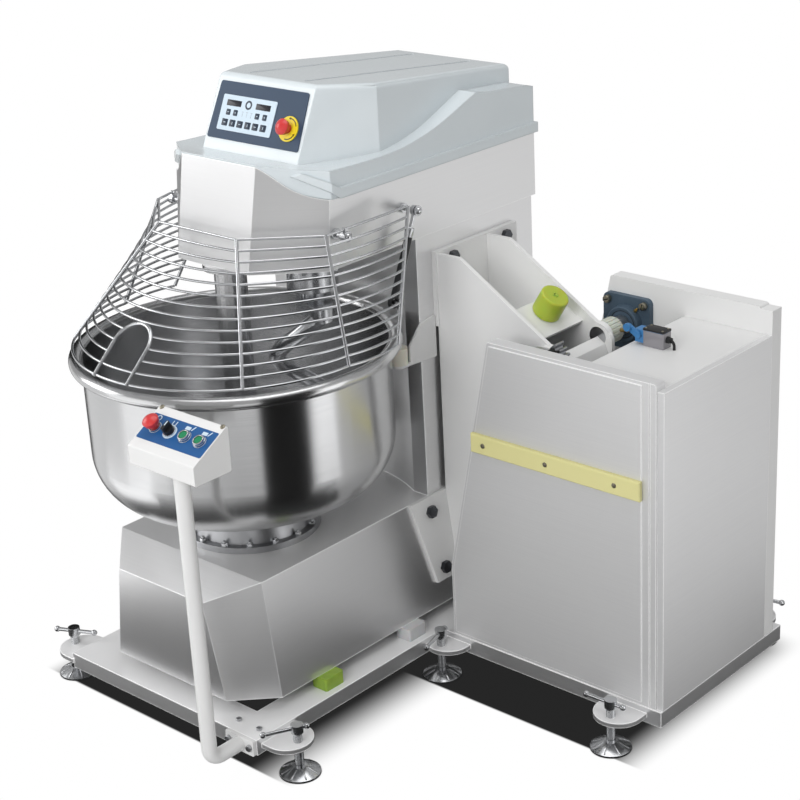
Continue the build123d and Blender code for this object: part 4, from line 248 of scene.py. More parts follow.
painted("white_paint", rgb(230, 230, 229), rgb(221, 221, 221), gloss=0.32)
# A lighter copy of white_paint, a painted light for the arm, which lies in shade; the rear wall wears it
# too.
painted("arm_white_painted_light", rgb(240, 240, 239), rgb(232, 232, 232), gloss=0.32)
painted("motor_paint", rgb(96, 104, 110), rgb(84, 91, 97), gloss=0.40)
painted("panel_blue", rgb(50, 70, 94), rgb(45, 64, 87), gloss=0.42, peel=0.00005, edge=0.0006)
painted("label_blue", rgb(24, 88, 146), rgb(20, 80, 138), gloss=0.40, peel=0.00004, edge=0.0003)
painted("strip_yellow", rgb(226, 221, 160), rgb(217, 210, 146), gloss=0.42, peel=0.0002)
print(len(finishes), "paints")

# %% [markdown]
# ## Moulded pieces
# Hood, keys, buttons and buffers are moulded. A moulding takes the fine grain of its die, so the
# same recipe as paint would do, but gloss plastic also has a clear upper skin, which is the coat
# of the shader. Nylon and the polyurethane buffer let light in, which the subsurface value gives.


# %% Plastics and rubber
def moulded(name, colour, shade, gloss, grain=900.0, depth=0.00004, edge=0.0008, **fixed):
    """Plastic or rubber from a mould; grain is pores in a metre, depth and edge are metres."""
    material, shader, place = start(name, **fixed)
    rounded, edge_wear_and_highlight = edges(place, edge)
    cloud = noise(place, scale=7.0, detail=3.0)
    pores = noise(place, grain)
    feed(
        shader,
        # Edges lean to the lighter tone: partly wear, partly a painted highlight.
        Base_Color=tint(cloud * (1 - 0.5 * edge_wear_and_highlight), colour, shade),
        Roughness=gloss + 0.08 * pores,
        Normal=bump(pores, distance=depth, strength=0.6, normal=rounded),
    )
    finishes[name] = material


moulded(
    "cover_plastic",
    rgb(222, 229, 232),
    rgb(214, 222, 226),
    gloss=0.22,
    edge=0.005,
    Coat_Weight=0.5,
    Coat_Roughness=0.08,
)
moulded("keypad_white", rgb(206, 222, 234), rgb(199, 216, 229), gloss=0.40, edge=0.0004)
moulded("key_ink", rgb(36, 50, 68), rgb(28, 42, 60), gloss=0.30, edge=0.0004)
moulded("guide_grey", rgb(172, 184, 196), rgb(162, 175, 188), gloss=0.34, edge=0.0004)
moulded("arrow_ink", rgb(84, 80, 22), rgb(70, 66, 18), gloss=0.34, edge=0.0004)
moulded("clear_case", rgb(150, 148, 152), rgb(116, 114, 120), gloss=0.12, edge=0.001, Coat_Weight=0.6)
moulded("display_glass", rgb(26, 26, 36), rgb(20, 20, 30), gloss=0.30, edge=0.0004, Coat_Weight=0.1)
moulded("stop_yellow", rgb(240, 220, 48), rgb(232, 206, 40), gloss=0.34)
moulded("stop_red", rgb(212, 56, 56), rgb(198, 46, 48), gloss=0.28, edge=0.002, Coat_Weight=0.4)
moulded("button_green", rgb(16, 134, 86), rgb(14, 122, 76), gloss=0.28, Coat_Weight=0.3)
moulded("black_plastic", rgb(30, 31, 33), rgb(24, 25, 27), gloss=0.36)
moulded("black_rubber", rgb(34, 34, 35), rgb(26, 26, 27), gloss=0.62, grain=300.0, depth=0.00010)
moulded("switch_blue", rgb(70, 132, 186), rgb(60, 118, 174), gloss=0.34)
moulded("nylon", rgb(226, 222, 208), rgb(214, 210, 196), gloss=0.42, edge=0.0015, Subsurface_Weight=0.2)
moulded(
    "green_rubber",
    rgb(190, 204, 70),
    rgb(166, 186, 58),
    gloss=0.28,
    grain=60.0,
    depth=0.0003,
    edge=0.003,
    Subsurface_Weight=0.45,
    Subsurface_Scale=0.02,
)
print(len(finishes), "finishes with the mouldings")

# %% [markdown]
# ## Rest pads
# The housing comes down on four rubber pads on the frame, a lime pair in front and a pale pair
# behind. All four are one solid in the model. It could be parted, but a colour that changes with
# depth needs no new shape, and since no rubber lies between the pairs the change never shows.

# %% Rubber of the rest pads
PADS_PART = (-0.15, -0.12)  # depth in metres, between the front pair and the rear pair


def pads(name, front, rear, gloss):
    """Rubber pads: the front pair in one colour, the rear pair in another."""
    material, shader, place = start(name, Subsurface_Weight=0.2, Subsurface_Scale=0.01)
    rounded = edges(place, 0.002)[0]
    cloud = noise(place, scale=60.0)
    behind = ramp(parts(place)[1], *PADS_PART)
    feed(
        shader,
        Base_Color=tint(behind, tint(cloud, *front), tint(cloud, *rear)),
        Roughness=gloss + 0.10 * cloud,
        Normal=bump(cloud, distance=0.0003, strength=0.6, normal=rounded),
    )
    finishes[name] = material


lime = (rgb(156, 182, 66), rgb(124, 160, 56))
pale = (rgb(206, 207, 208), rgb(194, 195, 196))
pads("pad_rubber", lime, pale, gloss=0.34)
print(len(finishes), "finishes with the pads")

# %% [markdown]
# ## Spun steel
# A spun bowl is scratched in rings round its axis, so a streak of light stands upright on it. Its
# noise could follow an unwrapped mesh, but the radius and the height of a point say as well which
# ring it is on. An anisotropic mirror then draws the light out along the height.

# %% The bowl's steel
MM = 0.001
BOWL_AXIS = Vector((-290.5, -232.5, 0)) * MM  # the mixer's own centre in the frame


def spun(name, colour, shade, gloss, axis, **fixed):
    """Metal spun or polished round an upright axis."""
    material, shader, place = start(name, Metallic=1.0, **fixed)
    moved = place.node("ShaderNodeMapping", {}, {"Vector": place, "Location": -axis})
    x, y, z = parts(moved)
    radius = (x * x + y * y) ** 0.5
    rings = radius.node("ShaderNodeCombineXYZ", {}, {0: radius, 1: z, 2: 0.0})
    lines = noise(rings, scale=260.0, detail=3.0)
    cloud = noise(place, scale=4.0)
    rounded, edge_wear_and_highlight = edges(place, 0.001)
    feed(
        shader,
        # Edges take the lighter tone: partly wear, partly a painted highlight.
        Base_Color=tint((lines * 0.5 + cloud * 0.5) * (1 - edge_wear_and_highlight), colour, shade),
        Roughness=gloss + 0.08 * lines,
        Normal=bump(lines, distance=0.00004, strength=0.3, normal=rounded),
    )
    finishes[name] = material


spun(
    "stainless",
    rgb(220, 220, 220),
    rgb(206, 207, 209),
    gloss=0.20,
    axis=BOWL_AXIS,
    Anisotropic=0.75,
    Anisotropic_Rotation=0.25,
)
print("bowl axis at", [round(c, 4) for c in BOWL_AXIS])

# %% [markdown]
# ## Brushed sheet
# Casing, pedestal walls and frame are sheet with long level scratches, so the noise is stretched a
# few hundred times across the brushing. Folded edges get a painted highlight: they are lighter,
# less of a mirror and glow a little, so they show as white lines, which rounding alone can't give
# at this size. Level faces look like plain pale sheet under the lamps, and a full mirror would turn
# them dark, so tops have their own share of mirror; where it is smaller, it paints the tops lighter
# than the sides.

# %% Casing, walls and frame
LEVEL_SCRATCHES = (1.2, 1.2, 300)
TOP_FACES = (0.7, 0.95)  # upward part of the normal, from sides to tops


def brushed(name, colour, shade, gloss, side, top, edge=0.003, glint=0.3):
    """Sheet brushed level: a painted highlight on the edges, and its own share of mirror on sides and on
    tops.
    """
    material, shader, place = start(name, Emission_Strength=glint)
    rounded, edge_wear_and_highlight = edges(place, edge)
    lines = noise(place, scale=3.0, detail=4.0, stretch=LEVEL_SCRATCHES)
    cloud = noise(place, scale=2.2)
    plain = place.node("ShaderNodeNewGeometry", out="Normal")
    upward = ramp(parts(plain)[2], *TOP_FACES)
    feed(
        shader,
        # Painted highlight: edges lose mirror, take the lighter tone and glow; less mirror on tops paints
        # them lighter than the sides.
        Metallic=(side + (top - side) * upward) * (1 - 0.8 * edge_wear_and_highlight),
        Emission_Color=tint(edge_wear_and_highlight, BLACK, WHITE),
        Base_Color=tint((lines * 0.6 + cloud * 0.4) * (1 - edge_wear_and_highlight), colour, shade),
        Roughness=gloss + 0.12 * lines - 0.10 * edge_wear_and_highlight,
        Normal=bump(lines, distance=0.00005, strength=0.25, normal=rounded),
    )
    finishes[name] = material


brushed(
    "casing_steel", rgb(240, 240, 240), rgb(228, 228, 229), gloss=0.27, side=0.93, top=0.35, glint=0.35
)
brushed("wall_steel", rgb(236, 236, 236), rgb(222, 222, 223), gloss=0.46, side=0.52, top=0.52)
brushed("frame_steel", rgb(244, 244, 244), rgb(232, 232, 233), gloss=0.30, side=0.85, top=0.08, edge=0.004)
print(len(finishes), "finishes with the sheets")

# %% [markdown]
# ## Turned, plated and cast metal
# Castings are rough and dark, and turned or plated parts are nearly smooth, so one recipe with its
# own grain serves them all. The screws of the feet also have a thread. It could be modelled as a
# helix, but at this pitch a wave along the height looks the same and costs no faces.

# %% Turned, plated and cast metal
THREAD_FROM, THREAD_TO = (0.024, 0.030), (0.110, 0.104)  # heights in metres where it fades


def metal(name, colour, shade, gloss, grain, depth, metallic=1.0, thread=0.0):
    """Turned, drawn, plated or cast metal, with a thread if it has a pitch in metres."""
    material, shader, place = start(name, Metallic=metallic)
    rounded, edge_wear_and_highlight = edges(place, 0.001)
    cloud = noise(place, scale=30.0, detail=3.0)
    relief = noise(place, grain)
    if thread:
        height = parts(place)[2]
        turns = height * (2 * pi / thread)
        wave = turns.node("ShaderNodeMath", {"operation": "SINE"}, {0: turns})
        relief = relief * 0.1 + wave * ramp(height, *THREAD_FROM) * ramp(height, *THREAD_TO)
    feed(
        shader,
        # Edges take the lighter tone: partly wear, partly a painted highlight.
        Base_Color=tint(cloud * (1 - edge_wear_and_highlight), colour, shade),
        Roughness=gloss + 0.14 * cloud,
        Normal=bump(relief, distance=depth, strength=0.6, normal=rounded),
    )
    finishes[name] = material


metal("polished_steel", rgb(222, 223, 225), rgb(206, 208, 211), gloss=0.14, grain=160.0, depth=0.00003)
metal(
    "foot_chrome",
    rgb(216, 217, 219),
    rgb(200, 202, 205),
    gloss=0.14,
    grain=160.0,
    depth=0.0006,
    thread=0.003,
)
metal("plain_steel", rgb(196, 197, 199), rgb(178, 179, 182), gloss=0.28, grain=220.0, depth=0.00006)
metal("zinc", rgb(176, 170, 152), rgb(150, 144, 128), gloss=0.30, grain=260.0, depth=0.00005)
metal("dark_bolt", rgb(92, 94, 98), rgb(74, 76, 80), gloss=0.22, grain=260.0, depth=0.00005)
metal("brass", rgb(206, 176, 110), rgb(186, 156, 92), gloss=0.24, grain=260.0, depth=0.00004)
metal(
    "cast_iron", rgb(84, 102, 118), rgb(70, 88, 104), gloss=0.46, grain=240.0, depth=0.0003, metallic=0.25
)
print(len(finishes), "finishes in all")

# %% [markdown]
# ## Dressing the solids
# Each solid of the model keeps its shape and takes the finish that the record names for it. A few
# pieces share a slot there but look different close to, such as the feet with their threads, so
# a short list gives those their own finish.

# %% Give every solid its finish
FEET = range(1, 7)
OWN_FINISH = {
    "column_base": "casing_steel",
    "head_shell": "casing_steel",
    "cabinet_front_wall": "wall_steel",
    "cabinet_side_cover": "wall_steel",
    # The rear wall and the arm wear the lighter copy of the white paint, a painted light.
    "cabinet_rear_wall": "arm_white_painted_light",
    "tilt_arm": "arm_white_painted_light",
    "base_frame": "frame_steel",
    "rest_pads": "pad_rubber",
    "arm_bolts": "dark_bolt",
    "guard_wires": "polished_steel",
    "guard_ribs": "polished_steel",
    "guard_pins": "polished_steel",
    **{f"foot_{n}": "foot_chrome" for n in FEET},
}
dressed = 0
for entry in frame["record"]["subparts"]:
    finish = finishes[OWN_FINISH.get(entry["node"], entry["material_slot"])]
    for holder in solids[entry["node"]].material_slots:
        holder.material = finish
    dressed += 1
print("dressed", dressed, "of", len(solids), "solids")

# %% [markdown]
# ## Seats for the small pieces
# Nuts, keys and rings are too small for the measured model, yet they are what the eye looks for
# close to. Each is drawn flat in its own millimetres and then seated on the machine by a matrix.
# They could be drawn in place, but with a seat no coordinates are typed twice, and a row of keys
# or a ring of nuts is the same seat moved along or turned.

# %% Seats
UP, RIGHT, FRONT, BACK = (0, 0, 1), (1, 0, 0), (0, -1, 0), (0, 1, 0)


def seat(x, y, z, normal=UP, along=RIGHT):
    """Matrix that takes a piece's own millimetres to a place on the mixer."""
    up = Vector(normal).normalized()
    across = Vector(along)
    across = (across - up * across.dot(up)).normalized()
    turn = Matrix((across, up.cross(across), up)).transposed().to_4x4()
    return Matrix.Translation(Vector((x, y, z)) * MM + BOWL_AXIS) @ turn @ Matrix.Scale(MM, 4)


def shifted(base, x, y, lift=0.0, turn=0.0):
    """The same seat, moved over its own face and turned on it, in degrees."""
    return base @ Matrix.Translation((x, y, lift)) @ Matrix.Rotation(radians(turn), 4, "Z")


def row(base, columns, height, lift=0.0, turn=0.0):
    """Seats side by side on one face, all at one height on it."""
    return [shifted(base, column, height, lift, turn) for column in columns]


def evenly(count, first=0.0):
    """Angles of pieces that are spaced evenly round an axis."""
    return [2 * pi * n / count + first for n in range(count)]


def span(node):
    """Lowest and highest corner of a solid, in the mixer's millimetres."""
    low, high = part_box(node)
    return (low - BOWL_AXIS) / MM, (high - BOWL_AXIS) / MM


print("bowl spans", [[round(c) for c in corner] for corner in span("bowl")])

# %% [markdown]
# ## Turned and punched shapes
# Most of the small pieces are turned on a lathe or punched from sheet. They could come from ready
# cylinders and cubes, but those have no rims, so two helpers do what the workshop does: one spins
# a profile, the other cuts a rounded plate and breaks its upper edge.

# %% Lathe and punch
SAME_POINT = 0.001
RING_STEPS = 32


def turned(profile, steps=24, angle=2 * pi):
    """Piece turned on a lathe, from a chain of radius and height."""
    part = bmesh.new()
    chain = [part.verts.new((radius, 0, height)) for radius, height in profile]
    for pair in zip(chain, chain[1:]):
        part.edges.new(pair)
    bmesh.ops.spin(
        part,
        geom=part.verts[:] + part.edges[:],
        axis=UP,
        cent=(0, 0, 0),
        angle=angle,
        steps=steps,
        use_merge=angle == 2 * pi,
    )
    bmesh.ops.remove_doubles(part, verts=part.verts, dist=SAME_POINT)
    bmesh.ops.holes_fill(part, edges=part.edges[:], sides=len(profile))
    return part


def ring(outer, inner, thick, edge):
    """Flat ring with a broken outer edge."""
    upper = [(outer, thick - edge), (outer - edge, thick), (inner, thick)]
    return turned([(inner, 0), (outer, 0), *upper, (inner, 0)], RING_STEPS)


def blank(width, height, corner=0.0):
    """Flat rectangle, centred on its seat, with round corners if they have a radius."""
    part = bmesh.new()
    bmesh.ops.create_grid(part, x_segments=1, y_segments=1, size=0.5)
    bmesh.ops.scale(part, vec=(width, height, 1), verts=part.verts)
    if corner:
        bmesh.ops.bevel(
            part, geom=part.verts[:], offset=corner, affect="VERTICES", segments=4, profile=0.5, material=-1
        )
    return part


def thicken(part, thick):
    """Gives a flat shape its thickness."""
    raised = bmesh.ops.extrude_face_region(part, geom=part.faces[:])
    top = [g for g in raised["geom"] if isinstance(g, bmesh.types.BMVert)]
    bmesh.ops.translate(part, vec=(0, 0, thick), verts=top)


def break_rim(part, height, edge):
    """Breaks the edges of a part's upper face."""
    rim = [e for e in part.edges if all(v.co.z > height / 2 for v in e.verts)]
    bmesh.ops.bevel(part, geom=rim, offset=edge, affect="EDGES", segments=2, profile=0.5, material=-1)


def plate(width, height, thick, corner=0.0, edge=0.0):
    """Plate with rounded corners, centred on its seat."""
    part = blank(width, height, corner)
    thicken(part, thick)
    if edge:
        break_rim(part, thick, edge)
    return part


# %% [markdown]
# ## From shapes to pieces
# A piece is often many copies of one shape, such as all the keys of the panel. Each copy could be
# an object, but then every key would have to be told what it moves with. Joined to one mesh, they
# ride on one body, share one finish and are listed under one name.

# %% Joining and seating
SHARP_FROM = radians(35)


def put(shape, part, *places):
    """Sets copies of a part at its places and joins them to the piece."""
    mesh = bpy.data.meshes.new("copy")
    for place in places:
        part.to_mesh(mesh)
        mesh.transform(place)
        shape.from_mesh(mesh)
    bpy.data.meshes.remove(mesh)
    part.free()


def keep(shape, name, body, finish):
    """Makes the finished piece, seats it on its body and gives it its finish."""
    bmesh.ops.recalc_face_normals(shape, faces=shape.faces)
    mesh = bpy.data.meshes.new(name)
    shape.to_mesh(mesh)
    shape.free()
    mesh.shade_smooth()
    mesh.set_sharp_from_angle(angle=SHARP_FROM)
    mesh.materials.append(finishes[finish])
    piece = bpy.data.objects.new(name, mesh)
    scene.collection.objects.link(piece)
    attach(piece, body)
    print(name, "has", len(mesh.polygons), "faces and rides on", body)


# %% [markdown]
# ## Keys of the head panel
# The keypad is a membrane: keys and windows are printed on a thin sheet that is embossed a little.
# A picture on the sheet would do from far away, but raised keys catch the light as real ones do.
# Two dark windows hold the timers, and between them is a ring for the bowl. The rows of keys below
# carry plain marks only. All places are measured from the lower left corner of the keypad.

# %% Windows of the timers
LEAN = radians(25.3)
PANEL_AT = (0, 104, 1412)
KEYPAD_MIDDLE, KEYPAD_SIZE, KEYPAD_FACE = (-36, 70), (186, 88), 4.75
WINDOWS_AT = ((41.6, 68.5), (142.9, 68.8))

panel = seat(*PANEL_AT, (0, -cos(LEAN), sin(LEAN)))
keypad_corner = [middle - size / 2 for middle, size in zip(KEYPAD_MIDDLE, KEYPAD_SIZE)]
keypad = shifted(panel, *keypad_corner, KEYPAD_FACE)

windows = bmesh.new()
window = plate(50, 14.6, thick=0.5, corner=1, edge=0.2)
put(windows, window, *[shifted(keypad, *place) for place in WINDOWS_AT])
keep(windows, "panel_windows", "mixer", "display_glass")

# %% Keys and the ring for the bowl
FOUR_KEYS, UPPER_ROW = (28.2, 53.1, 129, 155), 45.3
SIX_KEYS, LOWER_ROW = (23.8, 50.3, 76.8, 104, 130.4, 157.7), 19.3
KEY_THICK = 0.7
BOWL_RING_AT = (92.1, 68.8)

keys = bmesh.new()
put(keys, plate(14.5, 14.5, KEY_THICK, corner=2, edge=0.3), *row(keypad, FOUR_KEYS, UPPER_ROW))
put(keys, plate(20, 17, KEY_THICK, corner=2, edge=0.3), *row(keypad, SIX_KEYS, LOWER_ROW))
put(keys, ring(11.5, 6.5, thick=0.4, edge=0.1), shifted(keypad, *BOWL_RING_AT))
keep(keys, "panel_keys", "mixer", "key_ink")

# %% Marks on the keys, and guides between them
INK_THICK, INK_LIFT = 0.25, 0.65
GUIDES = (78, 92.7, 108)

marks = bmesh.new()
strokes = [
    shifted(keypad, column, LOWER_ROW, INK_LIFT, 90 * (n % 2)) for n, column in enumerate(SIX_KEYS)
]
put(marks, plate(7, 1.4, INK_THICK), *strokes)
put(marks, plate(5, 1.2, INK_THICK), *row(keypad, FOUR_KEYS, UPPER_ROW, INK_LIFT))
put(marks, plate(5, 1.2, INK_THICK), *row(keypad, FOUR_KEYS[1::2], UPPER_ROW, INK_LIFT, 90))
keep(marks, "panel_key_marks", "mixer", "keypad_white")

guides = bmesh.new()
put(guides, plate(7, 1.5, thick=0.2), *row(keypad, GUIDES, 50.5))
put(guides, plate(1.5, 10, thick=0.2), *row(keypad, GUIDES, 43.5))
keep(guides, "panel_guides", "mixer", "guide_grey")

# %% [markdown]
# ## Arrows round the stop button
# A stop button that latches is let go by a turn, and the disc behind it shows the way with arrows.
# On the real disc they are printed. Here a short arc is spun, given a hair of thickness and closed
# with a three-cornered head.

# %% Stop arrows
STOP_MIDDLE, STOP_FACE = (113, 55), 6.15
ARROW_IN, ARROW_OUT, HEAD_RADIUS = 24, 27, 4
ARROW_TURNS, ARROW_SWEEP, HEAD_AHEAD = (20, 140, 260), 70, 72  # degrees

stop = shifted(panel, *STOP_MIDDLE, STOP_FACE)
band = [(ARROW_IN, 0), (ARROW_OUT, 0), (ARROW_OUT, INK_THICK), (ARROW_IN, INK_THICK), (ARROW_IN, 0)]
arrows = bmesh.new()
arc = turned(band, steps=10, angle=radians(ARROW_SWEEP))
put(arrows, arc, *[shifted(stop, 0, 0, 0, turn) for turn in ARROW_TURNS])
head = bmesh.new()
bmesh.ops.create_circle(head, cap_ends=True, segments=3, radius=HEAD_RADIUS)
thicken(head, INK_THICK)
head_ways = [shifted(stop, 0, 0, 0, turn + HEAD_AHEAD) for turn in ARROW_TURNS]
put(arrows, head, *[shifted(way, (ARROW_IN + ARROW_OUT) / 2, 0) for way in head_ways])
keep(arrows, "stop_arrows", "mixer", "arrow_ink")

# %% [markdown]
# ## Label of the pole console
# The console wears a blue sheet with a hole for each button and white signs above them. The sheet
# could be a plate behind the buttons, but its edge round each hole shows from close by, so the
# outline and the holes are drawn as loops and the face between them is filled. The signs are the
# usual ones: a ring for stop, a fork for the switch, and a box with a stroke for each direction.

# %% Console label
CONSOLE_AT, CONSOLE_NORMAL = (298, -463, 924), (0, -64, 109)
BUTTON_PITCH, BUTTON_ROW = 49, 1
BUTTONS = [(n - 1.5) * BUTTON_PITCH for n in range(4)]
LABEL_SIZE, LABEL_CORNER, LABEL_THICK, HOLE_RADIUS = (212, 73), 4, 0.5, 16

console = seat(*CONSOLE_AT, CONSOLE_NORMAL)
sheet = blank(*LABEL_SIZE, LABEL_CORNER)
bmesh.ops.delete(sheet, geom=sheet.faces[:], context="FACES_ONLY")
for u in BUTTONS:
    hole_at = Matrix.Translation((u, BUTTON_ROW, 0))
    bmesh.ops.create_circle(sheet, segments=32, radius=HOLE_RADIUS, matrix=hole_at)
bmesh.ops.triangle_fill(sheet, edges=sheet.edges[:], use_beauty=True)
thicken(sheet, LABEL_THICK)
label = bmesh.new()
put(label, sheet, console)
keep(label, "console_label", "base", "label_blue")

# %% Signs over the buttons
SIGN_THICK, SIGN_LIFT = 0.3, 0.45

signs = bmesh.new()
put(signs, ring(8, 5.4, SIGN_THICK, edge=0.1), shifted(console, -82.4, 26.2, SIGN_LIFT))
put(signs, plate(2.6, 13, SIGN_THICK), *row(console, (-35, -24), 25, SIGN_LIFT))
put(signs, plate(13.6, 2.6, SIGN_THICK), shifted(console, -29.5, 19.8, SIGN_LIFT))
put(signs, plate(16, 9, SIGN_THICK, corner=1), *row(console, (16, 70.4), 24.5, SIGN_LIFT))
put(signs, plate(14, 2.8, SIGN_THICK), *row(console, (31.4, 85), 27, SIGN_LIFT, turn=62))
put(signs, ring(18.4, 15.2, thick=0.4, edge=0.1), shifted(console, BUTTONS[1], BUTTON_ROW, SIGN_LIFT))
keep(signs, "console_signs", "base", "keypad_white")

# %% Rings of the buttons, and the switch's pointer
BUTTON_RING = [(10.6, 5), (14, 5), (14, 9.5), (12.8, 11), (11.4, 11), (10.6, 10), (10.6, 5)]
POINTER_UP, POINTER_LIFT = 5, 25.9

rings = bmesh.new()
put(rings, turned(BUTTON_RING, RING_STEPS), *row(console, BUTTONS[2:], BUTTON_ROW))
keep(rings, "button_rings", "base", "polished_steel")

pointer = bmesh.new()
pointer_at = shifted(console, BUTTONS[1], BUTTON_ROW + POINTER_UP, POINTER_LIFT)
put(pointer, plate(2.6, 13, thick=0.4, corner=0.5), pointer_at)
keep(pointer, "selector_pointer", "console_selector", "keypad_white")

# %% [markdown]
# ## Screws of the strip, the console and the pole
# Covers and flanges are held by standard hardware. Pan heads hold the strip and the console's lid,
# and cap screws hold the pole to the frame. A disc would pass for a pan head from far away, but
# its dome catches a small light, so it is turned. Each kind is drawn once and set at all its
# places, as a fitter takes them from one drawer.

# %% Pan heads
PAN_HEAD = [(0, 2.6), (3.5, 2.4), (6, 1.2), (6.6, 0), (0, 0)]
STRIP_SCREWS = (0.08, 0.46, 0.86)  # shares of the strip's length

strip_low, strip_high = span("bumper_strip")
strip_middle = (strip_low.z + strip_high.z) / 2
screws = bmesh.new()
for share in STRIP_SCREWS:
    along_strip = strip_low.x + share * (strip_high.x - strip_low.x)
    put(screws, turned(PAN_HEAD), seat(along_strip, strip_low.y, strip_middle, FRONT))
put(screws, turned(PAN_HEAD), *row(console, (-100, 100), 55))
keep(screws, "pan_screws", "base", "zinc")


# %% Cap screws of the pole
def socket_screw(radius, height):
    """Cap screw head with a round socket."""
    hole, depth = radius * 0.55, height * 0.4
    profile = [(0, depth), (hole, depth), (hole, height), (radius * 0.88, height)]
    return turned(profile + [(radius, height * 0.86), (radius, 0), (0, 0)], steps=20)


POLE_SCREWS = ((262, -368.1, 84), (334, -368.1, 84))
FRAME_SCREWS = ((247, -319, 104), (318, -319, 104))

caps = bmesh.new()
put(caps, socket_screw(8.5, 8), *[seat(*place, FRONT) for place in POLE_SCREWS])
put(caps, socket_screw(7.5, 6), *[seat(*place) for place in FRAME_SCREWS])
keep(caps, "frame_screws", "base", "plain_steel")

# %% [markdown]
# ## Nuts of the bowl pedestal
# A ring of nuts clamps the bowl's pedestal to the housing, and a stud looks out of each. A six-sided
# cone with equal ends is a nut already, apart from its upper corners, which are broken on real
# ones. Each nut is turned to its own radius, so no two catch the light alike.

# %% Pedestal nuts
NUTS, NUT_CIRCLE, FLANGE_TOP = 16, 168, 458.1
NUT_FLATS, NUT_HIGH = 15, 9
STUD = [(0, 14), (3.6, 14), (4.4, 13), (4.4, NUT_HIGH), (0, NUT_HIGH)]


def hexagon(flats, height):
    """Hexagon nut with its upper corners broken."""
    part = bmesh.new()
    radius = flats / 3**0.5
    bmesh.ops.create_cone(part, cap_ends=True, segments=6, radius1=radius, radius2=radius, depth=height)
    bmesh.ops.translate(part, vec=(0, 0, height / 2), verts=part.verts)
    break_rim(part, height, flats / 16)
    return part


nuts = bmesh.new()
for way in evenly(NUTS):
    out = (cos(way), sin(way), 0)
    place = seat(NUT_CIRCLE * out[0], NUT_CIRCLE * out[1], FLANGE_TOP, UP, out)
    put(nuts, hexagon(NUT_FLATS, NUT_HIGH), place)
    put(nuts, turned(STUD, steps=12), place)
keep(nuts, "pedestal_nuts", "mixer", "polished_steel")

# %% [markdown]
# ## Washers of the arm
# Four bolts hold the arm to the column, with a washer under each head. A washer is a flat ring,
# turned and seated with its axis along the bolt. This seat leaves its second direction at the
# default, which is the bolt's own axis, so the rings come out with no width and don't show. With
# BACK as second direction they would lie flat on the arm.

# %% Washers under the arm's bolts
ARM_FACE, BOLT_DEPTHS, BOLT_HEIGHTS = 274.1, (511, 724), (1072, 930)

washers = bmesh.new()
for y in BOLT_DEPTHS:
    put(washers, ring(23, 17.6, thick=3, edge=0.6), *[seat(ARM_FACE, y, z, RIGHT) for z in BOLT_HEIGHTS])
keep(washers, "arm_washers", "mixer", "plain_steel")

# %% [markdown]
# ## Flange bearing
# The tilting shaft ends in a flange bearing. Its casting is dished round a black seal, its four
# bolts have slotted domes, and a nipple takes the grease. The slots could be cut into the domes,
# but a black bar let into each paints the shade of its slot, which looks the same from any side
# and keeps the domes whole.

# %% Bearing dish and seal
PIVOT_X, PIVOT_Z = 625, 885
DISH_DEPTH, FLANGE_DEPTH, NIPPLE_DEPTH = 34, 28, 22  # forward of the bearings' rear end
DISH = [(36, -4), (47.4, -4), (47, 1.5), (45, 3), (42.5, 2.4), (37.5, 0.3), (36, -4)]
SEAL = [(25.4, -2), (37, -2), (37, 0.6), (33, -0.8), (26.4, -0.4), (25.4, -1), (25.4, -2)]
BEARING_STEPS = 48

bearing_end = span("tilt_bearings")[1].y
hub = seat(PIVOT_X, bearing_end - DISH_DEPTH, PIVOT_Z, FRONT)
dish = bmesh.new()
put(dish, turned(DISH, BEARING_STEPS), hub)
keep(dish, "bearing_dish", "base", "cast_iron")

seal = bmesh.new()
put(seal, turned(SEAL, BEARING_STEPS), hub)
keep(seal, "bearing_seal", "base", "black_rubber")

# %% Bolt domes and grease nipple
BOLT_OUT = 55.5
DOME = [(0, 2.6), (5, 2.2), (8.8, 0.9), (10, 0), (0, 0)]
SLOT_TURNS = {(-1, 1): 20, (1, 1): 75, (-1, -1): 130, (1, -1): 50}  # degrees, by corner
NIPPLE = [(0, 13), (2.2, 13), (3, 11.5), (2, 9.5), (2, 7), (4.5, 7), (4.5, 0), (0, 0)]
NIPPLE_OUT, NIPPLE_UP, NIPPLE_WAY = 30, 37, (0.63, 0, 0.77)

domes = bmesh.new()
slot_shades = bmesh.new()
flange = seat(PIVOT_X, bearing_end - FLANGE_DEPTH, PIVOT_Z, FRONT)
for (across, upward), turn in SLOT_TURNS.items():
    place = shifted(flange, across * BOLT_OUT, upward * BOLT_OUT, 0, turn)
    put(domes, turned(DOME), place)
    # A black bar where the slot's shade falls: painted shade.
    put(slot_shades, plate(17, 2.6, thick=1.0), shifted(place, 0, 0, 1.75))
keep(domes, "bearing_bolt_domes", "base", "zinc")
keep(slot_shades, "bearing_bolt_slot_shades", "base", "black_plastic")

nipple = bmesh.new()
nipple_at = seat(PIVOT_X + NIPPLE_OUT, bearing_end - NIPPLE_DEPTH, PIVOT_Z + NIPPLE_UP, NIPPLE_WAY)
put(nipple, turned(NIPPLE, steps=16), nipple_at)
keep(nipple, "bearing_nipple", "base", "brass")

# %% [markdown]
# ## Collar of the tilting shaft
# A ribbed nylon collar on the shaft carries a brass pin, which trips the limit switch beside it.
# The ribs could be cut from a thicker ring. Setting small rounded bars round it is simpler, and
# their broken edges catch the light as moulded ribs do.

# %% Ribs and pin of the collar
COLLAR_RIBS, RIB_CIRCLE, RIB_SHORTER = 18, 30.6, 6
PIN = [(0, 26), (4, 26), (5.5, 24), (5.5, 0), (0, 0)]
PIN_OUT, PIN_BEFORE, PIN_UP, PIN_WAY = 30, 14, 6, (1, 0, 0.2)

